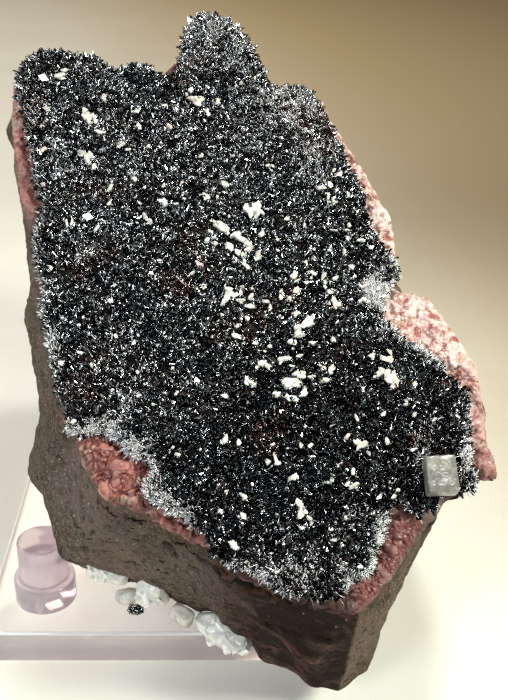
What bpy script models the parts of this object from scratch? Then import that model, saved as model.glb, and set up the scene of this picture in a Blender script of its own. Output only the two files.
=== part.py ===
"""Hematite specimen on its clear stand, as an assembly of separate solids.

A block of dark matrix rock leans back on an acrylic plate with four pegs. A thin red botryoidal rind covers
its front, a crust of bladed hematite crystals covers the rind, and calcite crystals sit on the crust and
along the lower back edge. Metres, +Z up. The origin is the middle of the underside of the stand's plate,
and the druse faces -Y and up.
"""

import math
import random

import bmesh
import bpy
from mathutils import Euler, Matrix, Vector, noise
from mathutils.bvhtree import BVHTree
from mathutils.geometry import delaunay_2d_cdt

# Outlines, radii and heights below are in millimetres, and MM turns them into the scene's metres.
MM = 0.001
GAP = 0.3
POCKET_GAP = 0.4

# The specimen's own frame: u to the right, v up its face, w out of its face, from its lowest back corner.
LEAN = math.radians(30)
LOWEST_CORNER = (26.2, -40.1, 5.5)

# Levels above the back of the specimen.
ROCK_FRONT = 31.8
ROCK_WAIST = 18.0
RIND_FRONT = 33.6
RIND_SINK = 0.5
CRUST_BASE = RIND_FRONT + GAP
CRUST_FRONT = 36.2
ROCK_LEVELS = (ROCK_FRONT, 29.4, 26.4, 22.4, ROCK_WAIST, 13.6, 9.0, 4.6, 1.2, 0.0)

# The stand: plate 57 x 57 x 6, and stepped pegs turned from 10 mm rod.
PLATE_SIDE = 57.0
PLATE_THICKNESS = 6.0
PLATE_EDGE = 0.5
PEG_INSET = 9.0
FOOT_RADIUS = 4.9
FOOT_HEIGHT = 4.4
PIN_RADIUS = 3.9
PEG_RIM = 0.3
PEG_SIDES = 24

# Each rib of the rock is (rim u, v), (waist u, v), (back u, v), from the lowest corner round to the left.
RIBS = (
    ((0.8, 0.6), (0.2, -0.4), (0.6, 0.0)),
    ((-5.0, 1.5), (-4.4, -0.8), (-3.4, -0.5)),
    ((-10.9, 4.1), (-10.4, 3.0), (-11.2, 3.6)),
    ((-16.2, 7.0), (-17.0, 6.8), (-17.5, 9.6)),
    ((-18.3, 9.7), (-20.8, 9.6), (-22.4, 12.6)),
    ((-21.4, 10.8), (-24.4, 11.4), (-27.0, 14.4)),
    ((-25.4, 13.7), (-28.6, 13.5), (-31.4, 15.9)),
    ((-30.8, 15.9), (-33.5, 15.0), (-36.5, 17.2)),
    ((-33.4, 19.3), (-38.2, 16.6), (-42.0, 19.8)),
    ((-35.3, 23.7), (-40.6, 20.6), (-44.4, 25.0)),
    ((-37.0, 26.0), (-42.3, 24.4), (-45.4, 31.0)),
    ((-38.9, 30.6), (-44.3, 30.6), (-49.0, 34.0)),
    ((-40.4, 35.5), (-44.6, 38.6), (-47.8, 43.0)),
    ((-41.8, 42.1), (-46.2, 46.5), (-49.6, 55.0)),
    ((-43.2, 49.1), (-47.8, 53.5), (-52.2, 65.0)),
    ((-44.6, 56.6), (-47.8, 60.5), (-52.4, 73.0)),
    ((-47.4, 64.5), (-50.2, 73.0), (-53.8, 83.0)),
    ((-49.3, 74.0), (-52.6, 84.0), (-55.8, 92.0)),
    ((-50.7, 82.0), (-54.6, 93.0), (-57.0, 99.0)),
    ((-51.2, 89.4), (-55.6, 99.8), (-56.6, 104.0)),
    ((-49.0, 94.6), (-50.6, 103.4), (-50.4, 107.4)),
    ((-43.2, 95.6), (-43.0, 103.8), (-42.0, 109.0)),
    ((-37.8, 94.4), (-36.0, 102.6), (-34.0, 110.6)),
    ((-32.4, 89.4), (-30.6, 101.4), (-28.0, 111.4)),
    ((-26.0, 88.6), (-27.0, 101.6), (-24.6, 112.6)),
    ((-23.6, 96.8), (-23.2, 106.4), (-20.4, 113.0)),
    ((-21.8, 102.6), (-18.6, 109.2), (-16.6, 112.0)),
    ((-17.0, 102.4), (-14.2, 106.0), (-12.0, 109.6)),
    ((-12.2, 97.4), (-10.2, 101.0), (-7.4, 107.0)),
    ((-10.4, 86.4), (-6.4, 96.4), (-2.6, 104.8)),
    ((-4.2, 85.8), (-1.4, 93.4), (1.8, 101.0)),
    ((-0.2, 82.6), (2.0, 87.6), (4.6, 94.0)),
    ((2.0, 76.6), (3.8, 80.4), (7.0, 86.0)),
    ((5.4, 69.0), (7.2, 72.6), (9.6, 77.0)),
    ((8.4, 60.6), (10.2, 64.4), (12.4, 68.4)),
    ((8.7, 53.0), (12.4, 58.8), (14.6, 62.0)),
    ((9.0, 47.4), (14.2, 54.6), (16.6, 56.4)),
    ((12.8, 46.4), (16.6, 52.0), (18.2, 51.6)),
    ((16.4, 40.2), (19.4, 46.6), (19.8, 46.0)),
    ((18.4, 34.4), (21.8, 42.6), (20.8, 41.0)),
    ((19.2, 28.4), (22.8, 36.6), (20.6, 36.6)),
    ((18.8, 22.6), (21.9, 31.0), (19.4, 32.4)),
    ((20.0, 18.6), (22.4, 25.8), (17.4, 29.6)),
    ((17.7, 18.6), (19.0, 24.8), (16.8, 28.2)),
    ((14.9, 16.1), (15.9, 23.0), (15.8, 26.8)),
    ((12.9, 15.5), (15.0, 20.5), (15.4, 24.6)),
    ((11.4, 13.9), (14.2, 18.2), (14.7, 22.8)),
    ((9.9, 12.3), (13.1, 16.4), (13.8, 21.0)),
    ((8.3, 10.7), (11.8, 14.0), (12.6, 19.0)),
    ((6.6, 8.0), (7.9, 8.6), (10.2, 15.0)),
    ((4.0, 4.2), (4.7, 2.7), (6.2, 7.6)),
    ((2.4, 2.3), (2.8, 0.6), (4.6, 3.6)),
)

# The rock's split sides: length of a step round it, and (fineness, depth) of each layer of its roughness.
COLUMN_STEP = 2.4
SIDE_ROUGH = ((0.11, 1.4), (0.42, 0.9))
LEDGE_DEPTH = 0.4
LEDGE_WAVE = Vector((0.11, 0.05, 1.1))
LEVEL_SWAY = (0.3, 1.1)
MIDDLE = (-18.0, 50.0)

# The corner between the rock's lower and right sides stays sharp within this reach.
ARRIS = (0.6, 0.0)
ARRIS_REACH = 5.0

# The rock's back: spacing and margin of its points, and (fineness, depth) of its roughness.
BACK_SPACING = 6.5
BACK_MARGIN = 3.2
BACK_ROUGH = (0.13, 1.6)

# Where the left end of the rock's back rises to its peg: (u, v, radius, height).
BACK_HOLLOW = (-44.0, 23.6, 10.0, 3.2)

# Fracture flats on the rock's sides and back: how many, how wide, tilted and deep, and how far pressed flat.
FLAT_COUNT = 34
FLAT_RADIUS = (5.0, 10.0)
FLAT_TILT = 0.3
FLAT_DEPTH = 0.3
FLAT_PRESS = 0.85

# The edge of the hematite crust as (u, v), the same way round.
CRUST_EDGE = (
    (-1.7, 1.3), (-6.0, 0.9), (-10.2, 3.1), (-10.7, 4.7), (-15.2, 5.8), (-17.6, 7.7), (-18.1, 9.6),
    (-20.0, 11.4), (-22.9, 13.3), (-25.5, 14.4), (-26.5, 16.5), (-24.6, 18.3), (-25.3, 20.0),
    (-28.1, 20.7), (-29.8, 23.0), (-32.6, 25.4), (-33.7, 24.0), (-35.0, 23.4), (-36.5, 24.6),
    (-38.4, 29.0), (-40.5, 37.0), (-41.9, 43.2), (-43.2, 50.5), (-44.1, 56.0), (-43.8, 62.5),
    (-45.5, 68.4), (-47.2, 74.5), (-49.2, 81.8), (-50.6, 88.6), (-48.7, 93.5), (-43.2, 94.7),
    (-37.6, 93.2), (-34.6, 90.2), (-31.4, 91.2), (-29.7, 91.0), (-27.5, 89.0), (-25.0, 89.2),
    (-24.4, 96.4), (-22.5, 102.2), (-18.5, 101.2), (-13.0, 97.0), (-11.6, 92.9), (-10.0, 87.0),
    (-4.9, 86.6), (-2.8, 85.6), (-0.6, 80.1), (1.4, 73.6), (4.4, 64.6), (5.2, 57.9), (9.1, 51.2),
    (8.9, 48.6), (6.8, 45.6), (6.5, 42.2), (8.1, 39.2), (13.5, 34.7), (17.5, 29.4), (16.5, 25.0),
    (16.3, 20.7), (15.5, 18.8), (17.2, 17.2), (16.3, 15.8), (14.3, 15.2), (12.7, 14.7), (11.4, 13.2),
    (10.4, 12.3), (8.2, 12.5), (7.7, 13.8), (7.0, 14.4), (5.9, 13.3), (4.4, 10.2), (2.4, 6.0),
    (2.3, 4.3), (0.2, 3.5),
)

# Swellings of the crust's face: (u, v, radius, height).
SWELLINGS = (
    (-18.2, 96.4, 9.0, 3.0),
    (-30.6, 89.4, 2.6, 1.6),
    (-46.0, 90.0, 7.0, 1.0),
    (-4.8, 80.0, 9.0, 1.2),
    (-24.0, 60.0, 16.0, 0.7),
    (3.0, 44.0, 9.0, -0.9),
    (14.0, 30.0, 6.0, -0.7),
    (-33.0, 40.0, 12.0, -0.6),
)

# The crust's face: step along its edge, (fineness, depth) of its roughness, and (reach, fall) of its rim.
CRUST_STEP = 2.1
CRUST_ROUGH = (0.2, 0.9)
CRUST_DROOP = (2.5, 0.7)
CRYSTAL_SPACING = 3.0
CRYSTAL_MARGIN = 1.3
CRYSTAL_HEIGHT = (0.35, 1.5)
CRYSTAL_LEAN = 0.5

# The crust is level this far round a calcite crystal.
PAD_MARGIN = 1.6
RHOMB_PAD_MARGIN = 2.2

# The rind's face: steps along its edge and along the crust's edge, then its points and its lumps.
RIND_STEP = 1.8
SEAM_STEP = 1.1
SEAM = 0.5
BARE_FROM = 0.9
POINT_SPACING = 1.1
LUMP_SPACING = 1.9
LUMP_RADIUS = (1.0, 1.9)

# White calcite crystals on the crust: (u, v, length, width, heading in degrees), all of one height. A plan is
# in half lengths and half widths, and each level of a crystal is (height, length, width) as shares.
LATH_HEIGHT = 1.3
LATH_PLAN = ((-1.0, 0.0), (-0.55, -1.0), (0.6, -0.9), (1.0, 0.1), (0.5, 1.0), (-0.6, 1.0))
LATH_LEVELS = ((0.0, 1.0, 1.0), (0.5, 1.05, 1.05), (1.0, 0.72, 0.6))
WHITE_CALCITES = (
    (-43.0, 87.3, 2.4, 2.0, 20),
    (-37.9, 79.0, 4.0, 1.4, 118),
    (-37.4, 70.2, 4.2, 1.9, 110),
    (-20.9, 82.5, 2.6, 1.5, 130),
    (-12.5, 59.8, 3.2, 2.2, 25),
    (-13.7, 54.8, 3.0, 2.0, 150),
    (-15.6, 44.6, 2.6, 1.8, 70),
    (-4.9, 40.0, 3.6, 1.6, 48),
    (-6.8, 30.7, 3.0, 1.9, 10),
    (6.3, 32.0, 3.0, 2.2, 115),
    (2.1, 21.4, 2.2, 1.8, 20),
    (-5.8, 12.2, 2.4, 1.7, 110),
)

# The translucent calcite rhomb near the lower right corner of the crust: place, sides and heading.
RHOMB_PLACE = (11.7, 16.9)
RHOMB_SIZE = (3.9, 5.1, 2.2)
RHOMB_SLANT = (0.1, -0.12)
RHOMB_HEADING = 2.0
RHOMB_WEAR = 1.3
RHOMB_BEVEL = 0.12

# Calcite along the lower back edge: name, centre (u, v, w), half sizes, turn about w in degrees.
EDGE_CALCITES = (
    ("underside_calcite_vein", (-34.4, 17.3, 2.3), (3.3, 1.2, 1.9), -16),
    ("underside_calcite_block", (-27.5, 14.4, 1.9), (2.4, 1.9, 2.9), -14),
    ("underside_calcite_clear", (-22.9, 11.2, 0.6), (1.9, 1.4, 1.7), -34),
    ("underside_calcite_long", (-17.0, 8.3, 1.3), (4.2, 1.8, 2.3), -36),
)
EDGE_HEMATITE = ("underside_hematite", (-30.2, 12.7, -1.3), (1.1, 0.9, 0.8), -20)
NUGGET_BOXINESS = 0.6
CALCITE_ROUGH = 0.12
HEMATITE_ROUGH = 0.3

SEED = 1207


def clear_scene():
    """Remove every object that the scene starts with."""
    for thing in list(bpy.data.objects):
        bpy.data.objects.remove(thing)


def finish(name, colour, roughness, metallic=0.0, transmission=0.0, ior=1.5):
    """Make a Principled BSDF material."""
    material = bpy.data.materials.new(name)
    material.use_nodes = True
    shader = material.node_tree.nodes["Principled BSDF"]
    shader.inputs["Base Color"].default_value = (*colour, 1.0)
    shader.inputs["Roughness"].default_value = roughness
    shader.inputs["Metallic"].default_value = metallic
    shader.inputs["Transmission Weight"].default_value = transmission
    shader.inputs["IOR"].default_value = ior
    return material


def add_piece(name, bm, material, parent=None):
    """Turn a mesh drawn in millimetres into a named object in metres."""
    bmesh.ops.transform(bm, matrix=Matrix.Scale(MM, 4), verts=bm.verts)
    mesh = bpy.data.meshes.new(name)
    bm.to_mesh(mesh)
    bm.free()
    mesh.materials.append(material)
    piece = bpy.data.objects.new(name, mesh)
    bpy.context.scene.collection.objects.link(piece)
    piece.parent = parent
    return piece


def along(points, spacing):
    """Cut the sides of a closed outline into steps of about the spacing, and keep its corners."""
    stepped = []
    for start, end in zip(points, points[1:] + points[:1]):
        steps = max(1, round((end - start).length / spacing))
        stepped += [start.lerp(end, step / steps) for step in range(steps)]
    return stepped


def inside(point, outline):
    """Say whether the point lies inside the closed outline."""
    crossings = 0
    for start, end in zip(outline, outline[1:] + outline[:1]):
        if (start.y > point.y) != (end.y > point.y):
            share = (point.y - start.y) / (end.y - start.y)
            crossings += point.x < start.x + share * (end.x - start.x)
    return crossings % 2 == 1


def edge_distance(point, outline):
    """Distance from the point to the nearest side of the outline."""
    nearest = math.inf
    for start, end in zip(outline, outline[1:] + outline[:1]):
        side = end - start
        share = min(1.0, max(0.0, (point - start).dot(side) / side.length_squared))
        nearest = min(nearest, (point - start.lerp(end, share)).length)
    return nearest


def scattered(outline, spacing, margin, rng, wanted=None):
    """Points of a jittered triangular grid inside the outline, where wanted allows them."""
    low = Vector((min(p.x for p in outline), min(p.y for p in outline)))
    high = Vector((max(p.x for p in outline), max(p.y for p in outline)))
    row_height = spacing * math.sqrt(3) / 2
    found = []
    for row in range(int((high.y - low.y) / row_height) + 1):
        for column in range(int((high.x - low.x) / spacing) + 1):
            sway = Vector((rng.uniform(-0.3, 0.3), rng.uniform(-0.3, 0.3))) * spacing
            point = low + Vector(((column + row % 2 / 2) * spacing, row * row_height)) + sway
            if not inside(point, outline) or edge_distance(point, outline) < margin:
                continue
            if wanted is None or wanted(point):
                found.append(point)
    return found


def sheet(outline, inner, level_of, base):
    """A closed slab with a flat base and a triangulated face, whose height at a point is level_of(point)."""
    count = len(outline)
    ring = [(i, (i + 1) % count) for i in range(count)]
    points, _, faces, *_ = delaunay_2d_cdt(outline + inner, ring, [], 1, 1e-5)
    bm = bmesh.new()
    face_verts = [bm.verts.new((*point, level_of(point))) for point in points]
    base_verts = [bm.verts.new((*points[i], base)) for i in range(count)]
    top = [bm.faces.new([face_verts[i] for i in face]) for face in faces]
    for i, j in ring:
        bm.faces.new((face_verts[i], base_verts[i], base_verts[j], face_verts[j]))
    bm.faces.new(reversed(base_verts))
    bmesh.ops.recalc_face_normals(bm, faces=bm.faces)
    return bm, top


def swelling(point, bumps):
    """Height that the smooth bumps add at a point."""
    total = 0.0
    for u, v, radius, height in bumps:
        share = (point - Vector((u, v))).length / radius
        if share < 1:
            total += height * (1 - share * share) ** 2
    return total


def rock_columns():
    """The rock's ribs, with the stretches between them cut into short steps."""
    ribs = [tuple(Vector(point) for point in rib) for rib in RIBS]
    columns = []
    for start, end in zip(ribs, ribs[1:] + ribs[:1]):
        steps = max(1, round((end[0] - start[0]).length / COLUMN_STEP))
        for step in range(steps):
            columns.append([a.lerp(b, step / steps) for a, b in zip(start, end)])
    return columns


def side_ring(bm, columns, level):
    """One ring of the rock's side at a level, made rough and stepped like a split rock."""
    middle = Vector(MIDDLE)
    ring = []
    for rim, waist, back in columns:
        if level >= ROCK_WAIST:
            place = waist.lerp(rim, (level - ROCK_WAIST) / (ROCK_FRONT - ROCK_WAIST))
        else:
            place = back.lerp(waist, level / ROCK_WAIST)
        height = level
        if level < ROCK_FRONT:
            spot = Vector((place.x, place.y, level))
            rough = sum(noise.noise(spot * fineness) * depth for fineness, depth in SIDE_ROUGH)
            ledge = LEDGE_DEPTH * (math.sin(spot.dot(LEDGE_WAVE)) - 1.0)
            calm = min(1.0, (place - Vector(ARRIS)).length / ARRIS_REACH)
            place = place + (place - middle).normalized() * (rough + ledge) * calm
            sway, most = LEVEL_SWAY
            height += noise.noise(spot * sway) * most if level else swelling(place, [BACK_HOLLOW])
        ring.append(bm.verts.new((place.x, place.y, height)))
    return ring


def break_flats(bm, rng):
    """Press patches of the rock's sides and back onto flat planes, as where it was split."""
    below = [vert for vert in bm.verts if vert.co.z < ROCK_FRONT - 0.5]
    loose = [vert for vert in below if (vert.co.xy - Vector(ARRIS)).length > ARRIS_REACH]
    bmesh.ops.recalc_face_normals(bm, faces=bm.faces)
    bm.normal_update()
    for _ in range(FLAT_COUNT):
        struck = rng.choice(loose)
        radius = rng.uniform(*FLAT_RADIUS)
        tilt = Vector([rng.uniform(-FLAT_TILT, FLAT_TILT) for _ in range(3)])
        normal = (struck.normal + tilt).normalized()
        centre = struck.co - normal * FLAT_DEPTH
        for vert in loose:
            reach = (vert.co - centre).length / radius
            if reach < 1:
                vert.co -= normal * (vert.co - centre).dot(normal) * FLAT_PRESS * (1 - reach**4)


def rock_solid(rng):
    """The matrix rock: rings from the rim to the back, a level front under the rind and a rough back."""
    columns = rock_columns()
    bm = bmesh.new()
    rings = [side_ring(bm, columns, level) for level in ROCK_LEVELS]
    count = len(columns)
    sides = [(i, (i + 1) % count) for i in range(count)]
    for upper, lower in zip(rings, rings[1:]):
        for i, j in sides:
            bm.faces.new((upper[i], lower[i], lower[j], upper[j]))
    bm.faces.new(reversed(rings[0]))
    back_outline = [vert.co.xy for vert in rings[-1]]
    inner = scattered(back_outline, BACK_SPACING, BACK_MARGIN, rng)
    points, _, faces, *_ = delaunay_2d_cdt(back_outline + inner, sides, [], 1, 1e-5)
    back_verts = list(rings[-1])
    fineness, depth = BACK_ROUGH
    for point in points[count:]:
        rough = noise.noise(Vector((point.x, point.y, 7.0)) * fineness) * depth
        back_verts.append(bm.verts.new((*point, rough + swelling(point, [BACK_HOLLOW]))))
    for face in faces:
        bm.faces.new([back_verts[i] for i in reversed(face)])
    break_flats(bm, rng)
    bmesh.ops.triangulate(bm, faces=[face for face in bm.faces if len(face.verts) == 4])
    bmesh.ops.recalc_face_normals(bm, faces=bm.faces)
    return bm


def seam_points(crust, rim):
    """Points on both sides of the crust's edge, where the rind stays level so that the crust lies on it."""
    found = []
    steps = along(crust, SEAM_STEP)
    for before, here, after in zip(steps[-1:] + steps[:-1], steps, steps[1:] + steps[:1]):
        across = (after - before).orthogonal().normalized()
        for side in (-SEAM, SEAM):
            point = here + across * side
            clear = edge_distance(point, rim) > SEAM and edge_distance(point, crust) > SEAM * 0.8
            if inside(point, rim) and clear:
                found.append(point)
    return found


def rind_solid(rim, crust, rng):
    """The red rind: a thin slab with round lumps wherever the crust leaves it bare."""
    outline = along(rim, RIND_STEP)

    def bare(point):
        return not inside(point, crust) and edge_distance(point, crust) > BARE_FROM

    centres = scattered(rim, LUMP_SPACING, 0.0, rng, bare)
    lumps = [(centre, rng.uniform(*LUMP_RADIUS)) for centre in centres]

    def level_of(point):
        if not bare(point):
            return RIND_FRONT
        domes = [
            math.sqrt(radius**2 - (point - centre).length_squared)
            for centre, radius in lumps
            if (point - centre).length < radius
        ]
        return RIND_FRONT + max(domes, default=RIND_SINK) - RIND_SINK

    inner = scattered(outline, POINT_SPACING, SEAM, rng, bare) + seam_points(crust, rim)
    bm, _ = sheet(outline, inner, level_of, ROCK_FRONT + GAP)
    return bm


def crust_level(point, pads):
    """Height of the crust's face, level where a calcite crystal stands."""
    fineness, depth = CRUST_ROUGH
    rough = noise.noise(Vector((point.x, point.y, 0.0)) * fineness) * depth
    level = CRUST_FRONT + rough + swelling(point, SWELLINGS)
    for centre, radius, pad_level in pads:
        if (point - centre).length < radius:
            level = pad_level
    return level


def calcite_pads():
    """Level spots of the crust under the calcite crystals: centre, radius and height."""
    spots = [(Vector((u, v)), length / 2 + PAD_MARGIN) for u, v, length, *_ in WHITE_CALCITES]
    spots.append((Vector(RHOMB_PLACE), max(RHOMB_SIZE) / 2 + RHOMB_PAD_MARGIN))
    return [(centre, radius, crust_level(centre, ())) for centre, radius in spots]


def crust_solid(pads, rng):
    """The hematite crust: a slab whose face is broken into pointed crystals with flat sides."""
    outline = along([Vector(point) for point in CRUST_EDGE], CRUST_STEP)
    reach, fall = CRUST_DROOP

    def level_of(point):
        droop = max(0.0, 1.0 - edge_distance(point, outline) / reach)
        return crust_level(point, pads) - fall * droop

    inner = scattered(outline, CRYSTAL_SPACING, CRYSTAL_MARGIN, rng)
    bm, top = sheet(outline, inner, level_of, CRUST_BASE)
    growing = []
    for face in top:
        centre = face.calc_center_median().xy
        if all((centre - spot).length > radius - 0.4 for spot, radius, _ in pads):
            growing.append(face)
    tips = bmesh.ops.poke(bm, faces=growing)["verts"]
    for tip in tips:
        lean = [rng.uniform(-CRYSTAL_LEAN, CRYSTAL_LEAN) for _ in range(2)]
        tip.co += Vector((*lean, rng.uniform(*CRYSTAL_HEIGHT)))
    return bm


def lath_solid(length, width, height):
    """A calcite lath: a six-sided plate with bevelled ends, its base at z = 0."""
    bm = bmesh.new()
    rings = []
    for rise, long, broad in LATH_LEVELS:
        half, flank = long * length / 2, broad * width / 2
        rings.append([bm.verts.new((x * half, y * flank, rise * height)) for x, y in LATH_PLAN])
    base, middle, crown = rings
    for lower, upper in ((base, middle), (middle, crown)):
        for i in range(6):
            j = (i + 1) % 6
            bm.faces.new((lower[i], lower[j], upper[j], upper[i]))
    bm.faces.new(reversed(base))
    bm.faces.new(crown)
    return bm


def place_on_crust(bm, centre, heading, pad_level):
    """Turn a crystal to its heading and stand it on its level spot of the crust."""
    turn = Matrix.Rotation(math.radians(heading), 4, "Z")
    move = Matrix.Translation((centre.x, centre.y, pad_level + GAP))
    bmesh.ops.transform(bm, matrix=move @ turn, verts=bm.verts)
    return bm


def rhomb_solid():
    """The calcite rhomb: a slanted block with one corner worn away."""
    length, width, height = RHOMB_SIZE
    bm = bmesh.new()
    bmesh.ops.create_cube(bm, size=1.0)
    slant = Matrix(((1, 0, RHOMB_SLANT[0], 0), (0, 1, RHOMB_SLANT[1], 0), (0, 0, 1, 0), (0, 0, 0, 1)))
    size = Matrix.Diagonal((length, width, height, 1.0))
    bmesh.ops.transform(bm, matrix=slant @ size @ Matrix.Translation((0, 0, 0.5)), verts=bm.verts)
    worn = min(bm.verts, key=lambda vert: vert.co.x - vert.co.y - vert.co.z)
    bmesh.ops.bevel(
        bm, geom=[worn], offset=RHOMB_WEAR, offset_type="OFFSET", segments=2, profile=0.5, affect="VERTICES"
    )
    bmesh.ops.bevel(bm, geom=bm.edges[:], offset=RHOMB_BEVEL, segments=1, affect="EDGES")
    low = min(vert.co.z for vert in bm.verts)
    bmesh.ops.translate(bm, vec=(0, 0, -low), verts=bm.verts)
    return bm


def nugget_solid(half_sizes, centre, turn, rough, grow, seed):
    """A blocky crystal lump with flat faces, made larger all round by grow."""
    rng = random.Random(seed)
    bm = bmesh.new()
    bmesh.ops.create_icosphere(bm, subdivisions=2, radius=1.0)
    for vert in bm.verts:
        direction = vert.co.normalized()
        boxy = 1.0 / max(abs(direction.x), abs(direction.y), abs(direction.z)) ** NUGGET_BOXINESS
        reach = boxy * (1.0 + rng.uniform(-rough, rough))
        vert.co = Vector([d * reach * half + d * grow for d, half in zip(direction, half_sizes)])
    place = Matrix.Translation(centre) @ Matrix.Rotation(math.radians(turn), 4, "Z")
    bmesh.ops.transform(bm, matrix=place, verts=bm.verts)
    return bm


def add_cutter(name, bm, target, parent):
    """Cut a hidden shape out of the target."""
    cutter = add_piece(name, bm, target.data.materials[0], parent)
    cutter.hide_render = True
    cutter.display_type = "WIRE"
    cut = target.modifiers.new(name, "BOOLEAN")
    cut.object = cutter
    cut.operation = "DIFFERENCE"
    cut.solver = "EXACT"


def add_edge_crystals(rock, parent, calcite, hematite):
    """The crystals along the lower back edge, each in a pocket of the rock."""
    crystals = [(crystal, calcite, CALCITE_ROUGH) for crystal in EDGE_CALCITES]
    crystals.append((EDGE_HEMATITE, hematite, HEMATITE_ROUGH))
    for seed, ((name, centre, half_sizes, turn), material, rough) in enumerate(crystals):
        shape = (half_sizes, centre, turn, rough)
        add_piece(name, nugget_solid(*shape, 0.0, seed), material, parent)
        add_cutter(name + "_pocket", nugget_solid(*shape, POCKET_GAP, seed), rock, parent)


def surface_of(piece):
    """Search tree of the piece's finished surface, in world space."""
    graph = bpy.context.evaluated_depsgraph_get()
    bm = bmesh.new()
    bm.from_object(piece, graph)
    bmesh.ops.transform(bm, matrix=piece.matrix_world, verts=bm.verts)
    tree = BVHTree.FromBMesh(bm)
    bm.free()
    return tree


def clear_height(surface, x, y, radius):
    """Height at which a flat round top would touch the surface from below."""
    lowest = math.inf
    for share in (0.25, 0.5, 0.75, 1.0):
        for step in range(48):
            angle = math.tau * step / 48
            side = Vector((math.cos(angle), math.sin(angle), 0.0)) * radius * share
            hit, *_ = surface.ray_cast((Vector((x, y, 0.0)) + side) * MM, Vector((0, 0, 1)))
            if hit is not None:
                lowest = min(lowest, hit.z / MM)
    return lowest


def peg_solid(top):
    """A stepped peg, turned: a wide foot on the plate and a thinner pin with softened rims."""
    foot_top = PLATE_THICKNESS + GAP + FOOT_HEIGHT
    profile = (
        (FOOT_RADIUS, PLATE_THICKNESS + GAP),
        (FOOT_RADIUS, foot_top - PEG_RIM),
        (FOOT_RADIUS - PEG_RIM, foot_top),
        (PIN_RADIUS, foot_top),
        (PIN_RADIUS, top - PEG_RIM),
        (PIN_RADIUS - PEG_RIM, top),
    )
    bm = bmesh.new()
    rings = []
    for radius, z in profile:
        turns = [math.tau * step / PEG_SIDES for step in range(PEG_SIDES)]
        rings.append([bm.verts.new((radius * math.cos(t), radius * math.sin(t), z)) for t in turns])
    for lower, upper in zip(rings, rings[1:]):
        for i in range(PEG_SIDES):
            j = (i + 1) % PEG_SIDES
            bm.faces.new((lower[i], lower[j], upper[j], upper[i]))
    bm.faces.new(reversed(rings[0]))
    bm.faces.new(rings[-1])
    return bm


def add_stand(rock, acrylic):
    """The clear plate and its four pegs, each as tall as the rock above it allows."""
    plate = bmesh.new()
    bmesh.ops.create_cube(plate, size=1.0)
    lift = Matrix.Translation((0, 0, PLATE_THICKNESS / 2))
    size = Matrix.Diagonal((PLATE_SIDE, PLATE_SIDE, PLATE_THICKNESS, 1.0))
    bmesh.ops.transform(plate, matrix=lift @ size, verts=plate.verts)
    bmesh.ops.bevel(plate, geom=plate.edges[:], offset=PLATE_EDGE, segments=2, profile=0.5, affect="EDGES")
    add_piece("stand_base", plate, acrylic)
    surface = surface_of(rock)
    reach = PLATE_SIDE / 2 - PEG_INSET
    for row, y in (("front", -reach), ("rear", reach)):
        for side, x in (("left", -reach), ("right", reach)):
            top = clear_height(surface, x, y, PIN_RADIUS) - GAP
            peg = add_piece(f"stand_peg_{row}_{side}", peg_solid(top), acrylic)
            peg.location = (x * MM, y * MM, 0.0)
            peg.data.shade_smooth()
            peg.data.set_sharp_from_angle(angle=math.radians(40))


def build():
    """Build the whole specimen and its stand."""
    clear_scene()
    rng = random.Random(SEED)
    rock_finish = finish("rock", (0.085, 0.068, 0.06), 0.82)
    rind_finish = finish("rind", (0.34, 0.11, 0.075), 0.7)
    hematite = finish("hematite", (0.1, 0.1, 0.11), 0.24, metallic=1.0)
    calcite = finish("white calcite", (0.82, 0.8, 0.76), 0.4)
    clear_calcite = finish("clear calcite", (0.85, 0.86, 0.85), 0.2, transmission=0.8, ior=1.58)
    acrylic = finish("acrylic", (0.97, 0.94, 0.96), 0.03, transmission=1.0, ior=1.49)

    specimen = bpy.data.objects.new("specimen_frame", None)
    bpy.context.scene.collection.objects.link(specimen)
    specimen.location = Vector(LOWEST_CORNER) * MM
    specimen.rotation_euler = Euler((LEAN, 0.0, 0.0))

    rock = add_piece("matrix_rock", rock_solid(rng), rock_finish, specimen)
    rim = [Vector(rib[0]) for rib in RIBS]
    crust = [Vector(point) for point in CRUST_EDGE]
    add_piece("red_rind", rind_solid(rim, crust, rng), rind_finish, specimen)
    pads = calcite_pads()
    add_piece("hematite_crust", crust_solid(pads, rng), hematite, specimen)

    for number, ((u, v, length, width, heading), pad) in enumerate(zip(WHITE_CALCITES, pads), start=1):
        lath = place_on_crust(lath_solid(length, width, LATH_HEIGHT), Vector((u, v)), heading, pad[2])
        add_piece(f"white_calcite_{number:02d}", lath, calcite, specimen)
    rhomb = place_on_crust(rhomb_solid(), Vector(RHOMB_PLACE), RHOMB_HEADING, pads[-1][2])
    add_piece("calcite_rhomb", rhomb, clear_calcite, specimen)

    add_edge_crystals(rock, specimen, calcite, hematite)
    bpy.context.view_layer.update()
    add_stand(rock, acrylic)


build()
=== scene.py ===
"""Hematite specimen on its clear stand: the finished surfaces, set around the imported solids.

The scene is in metres with +Z up, and the druse faces -Y and up. Sizes that belong to the specimen
are in millimetres of its own frame: u to the right, v up its face and w out of its face, from its
lowest back corner.
"""

import logging
import math
from collections.abc import Callable, Iterator
from contextlib import contextmanager
from dataclasses import dataclass, field
from enum import Enum
from functools import cached_property

import bmesh
import bpy
import numpy as np
from bpy.types import Material, Mesh, Node, NodeSocket, Object
from mathutils import Matrix, Vector, noise
from mathutils.bvhtree import BVHTree
from mathutils.kdtree import KDTree


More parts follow.
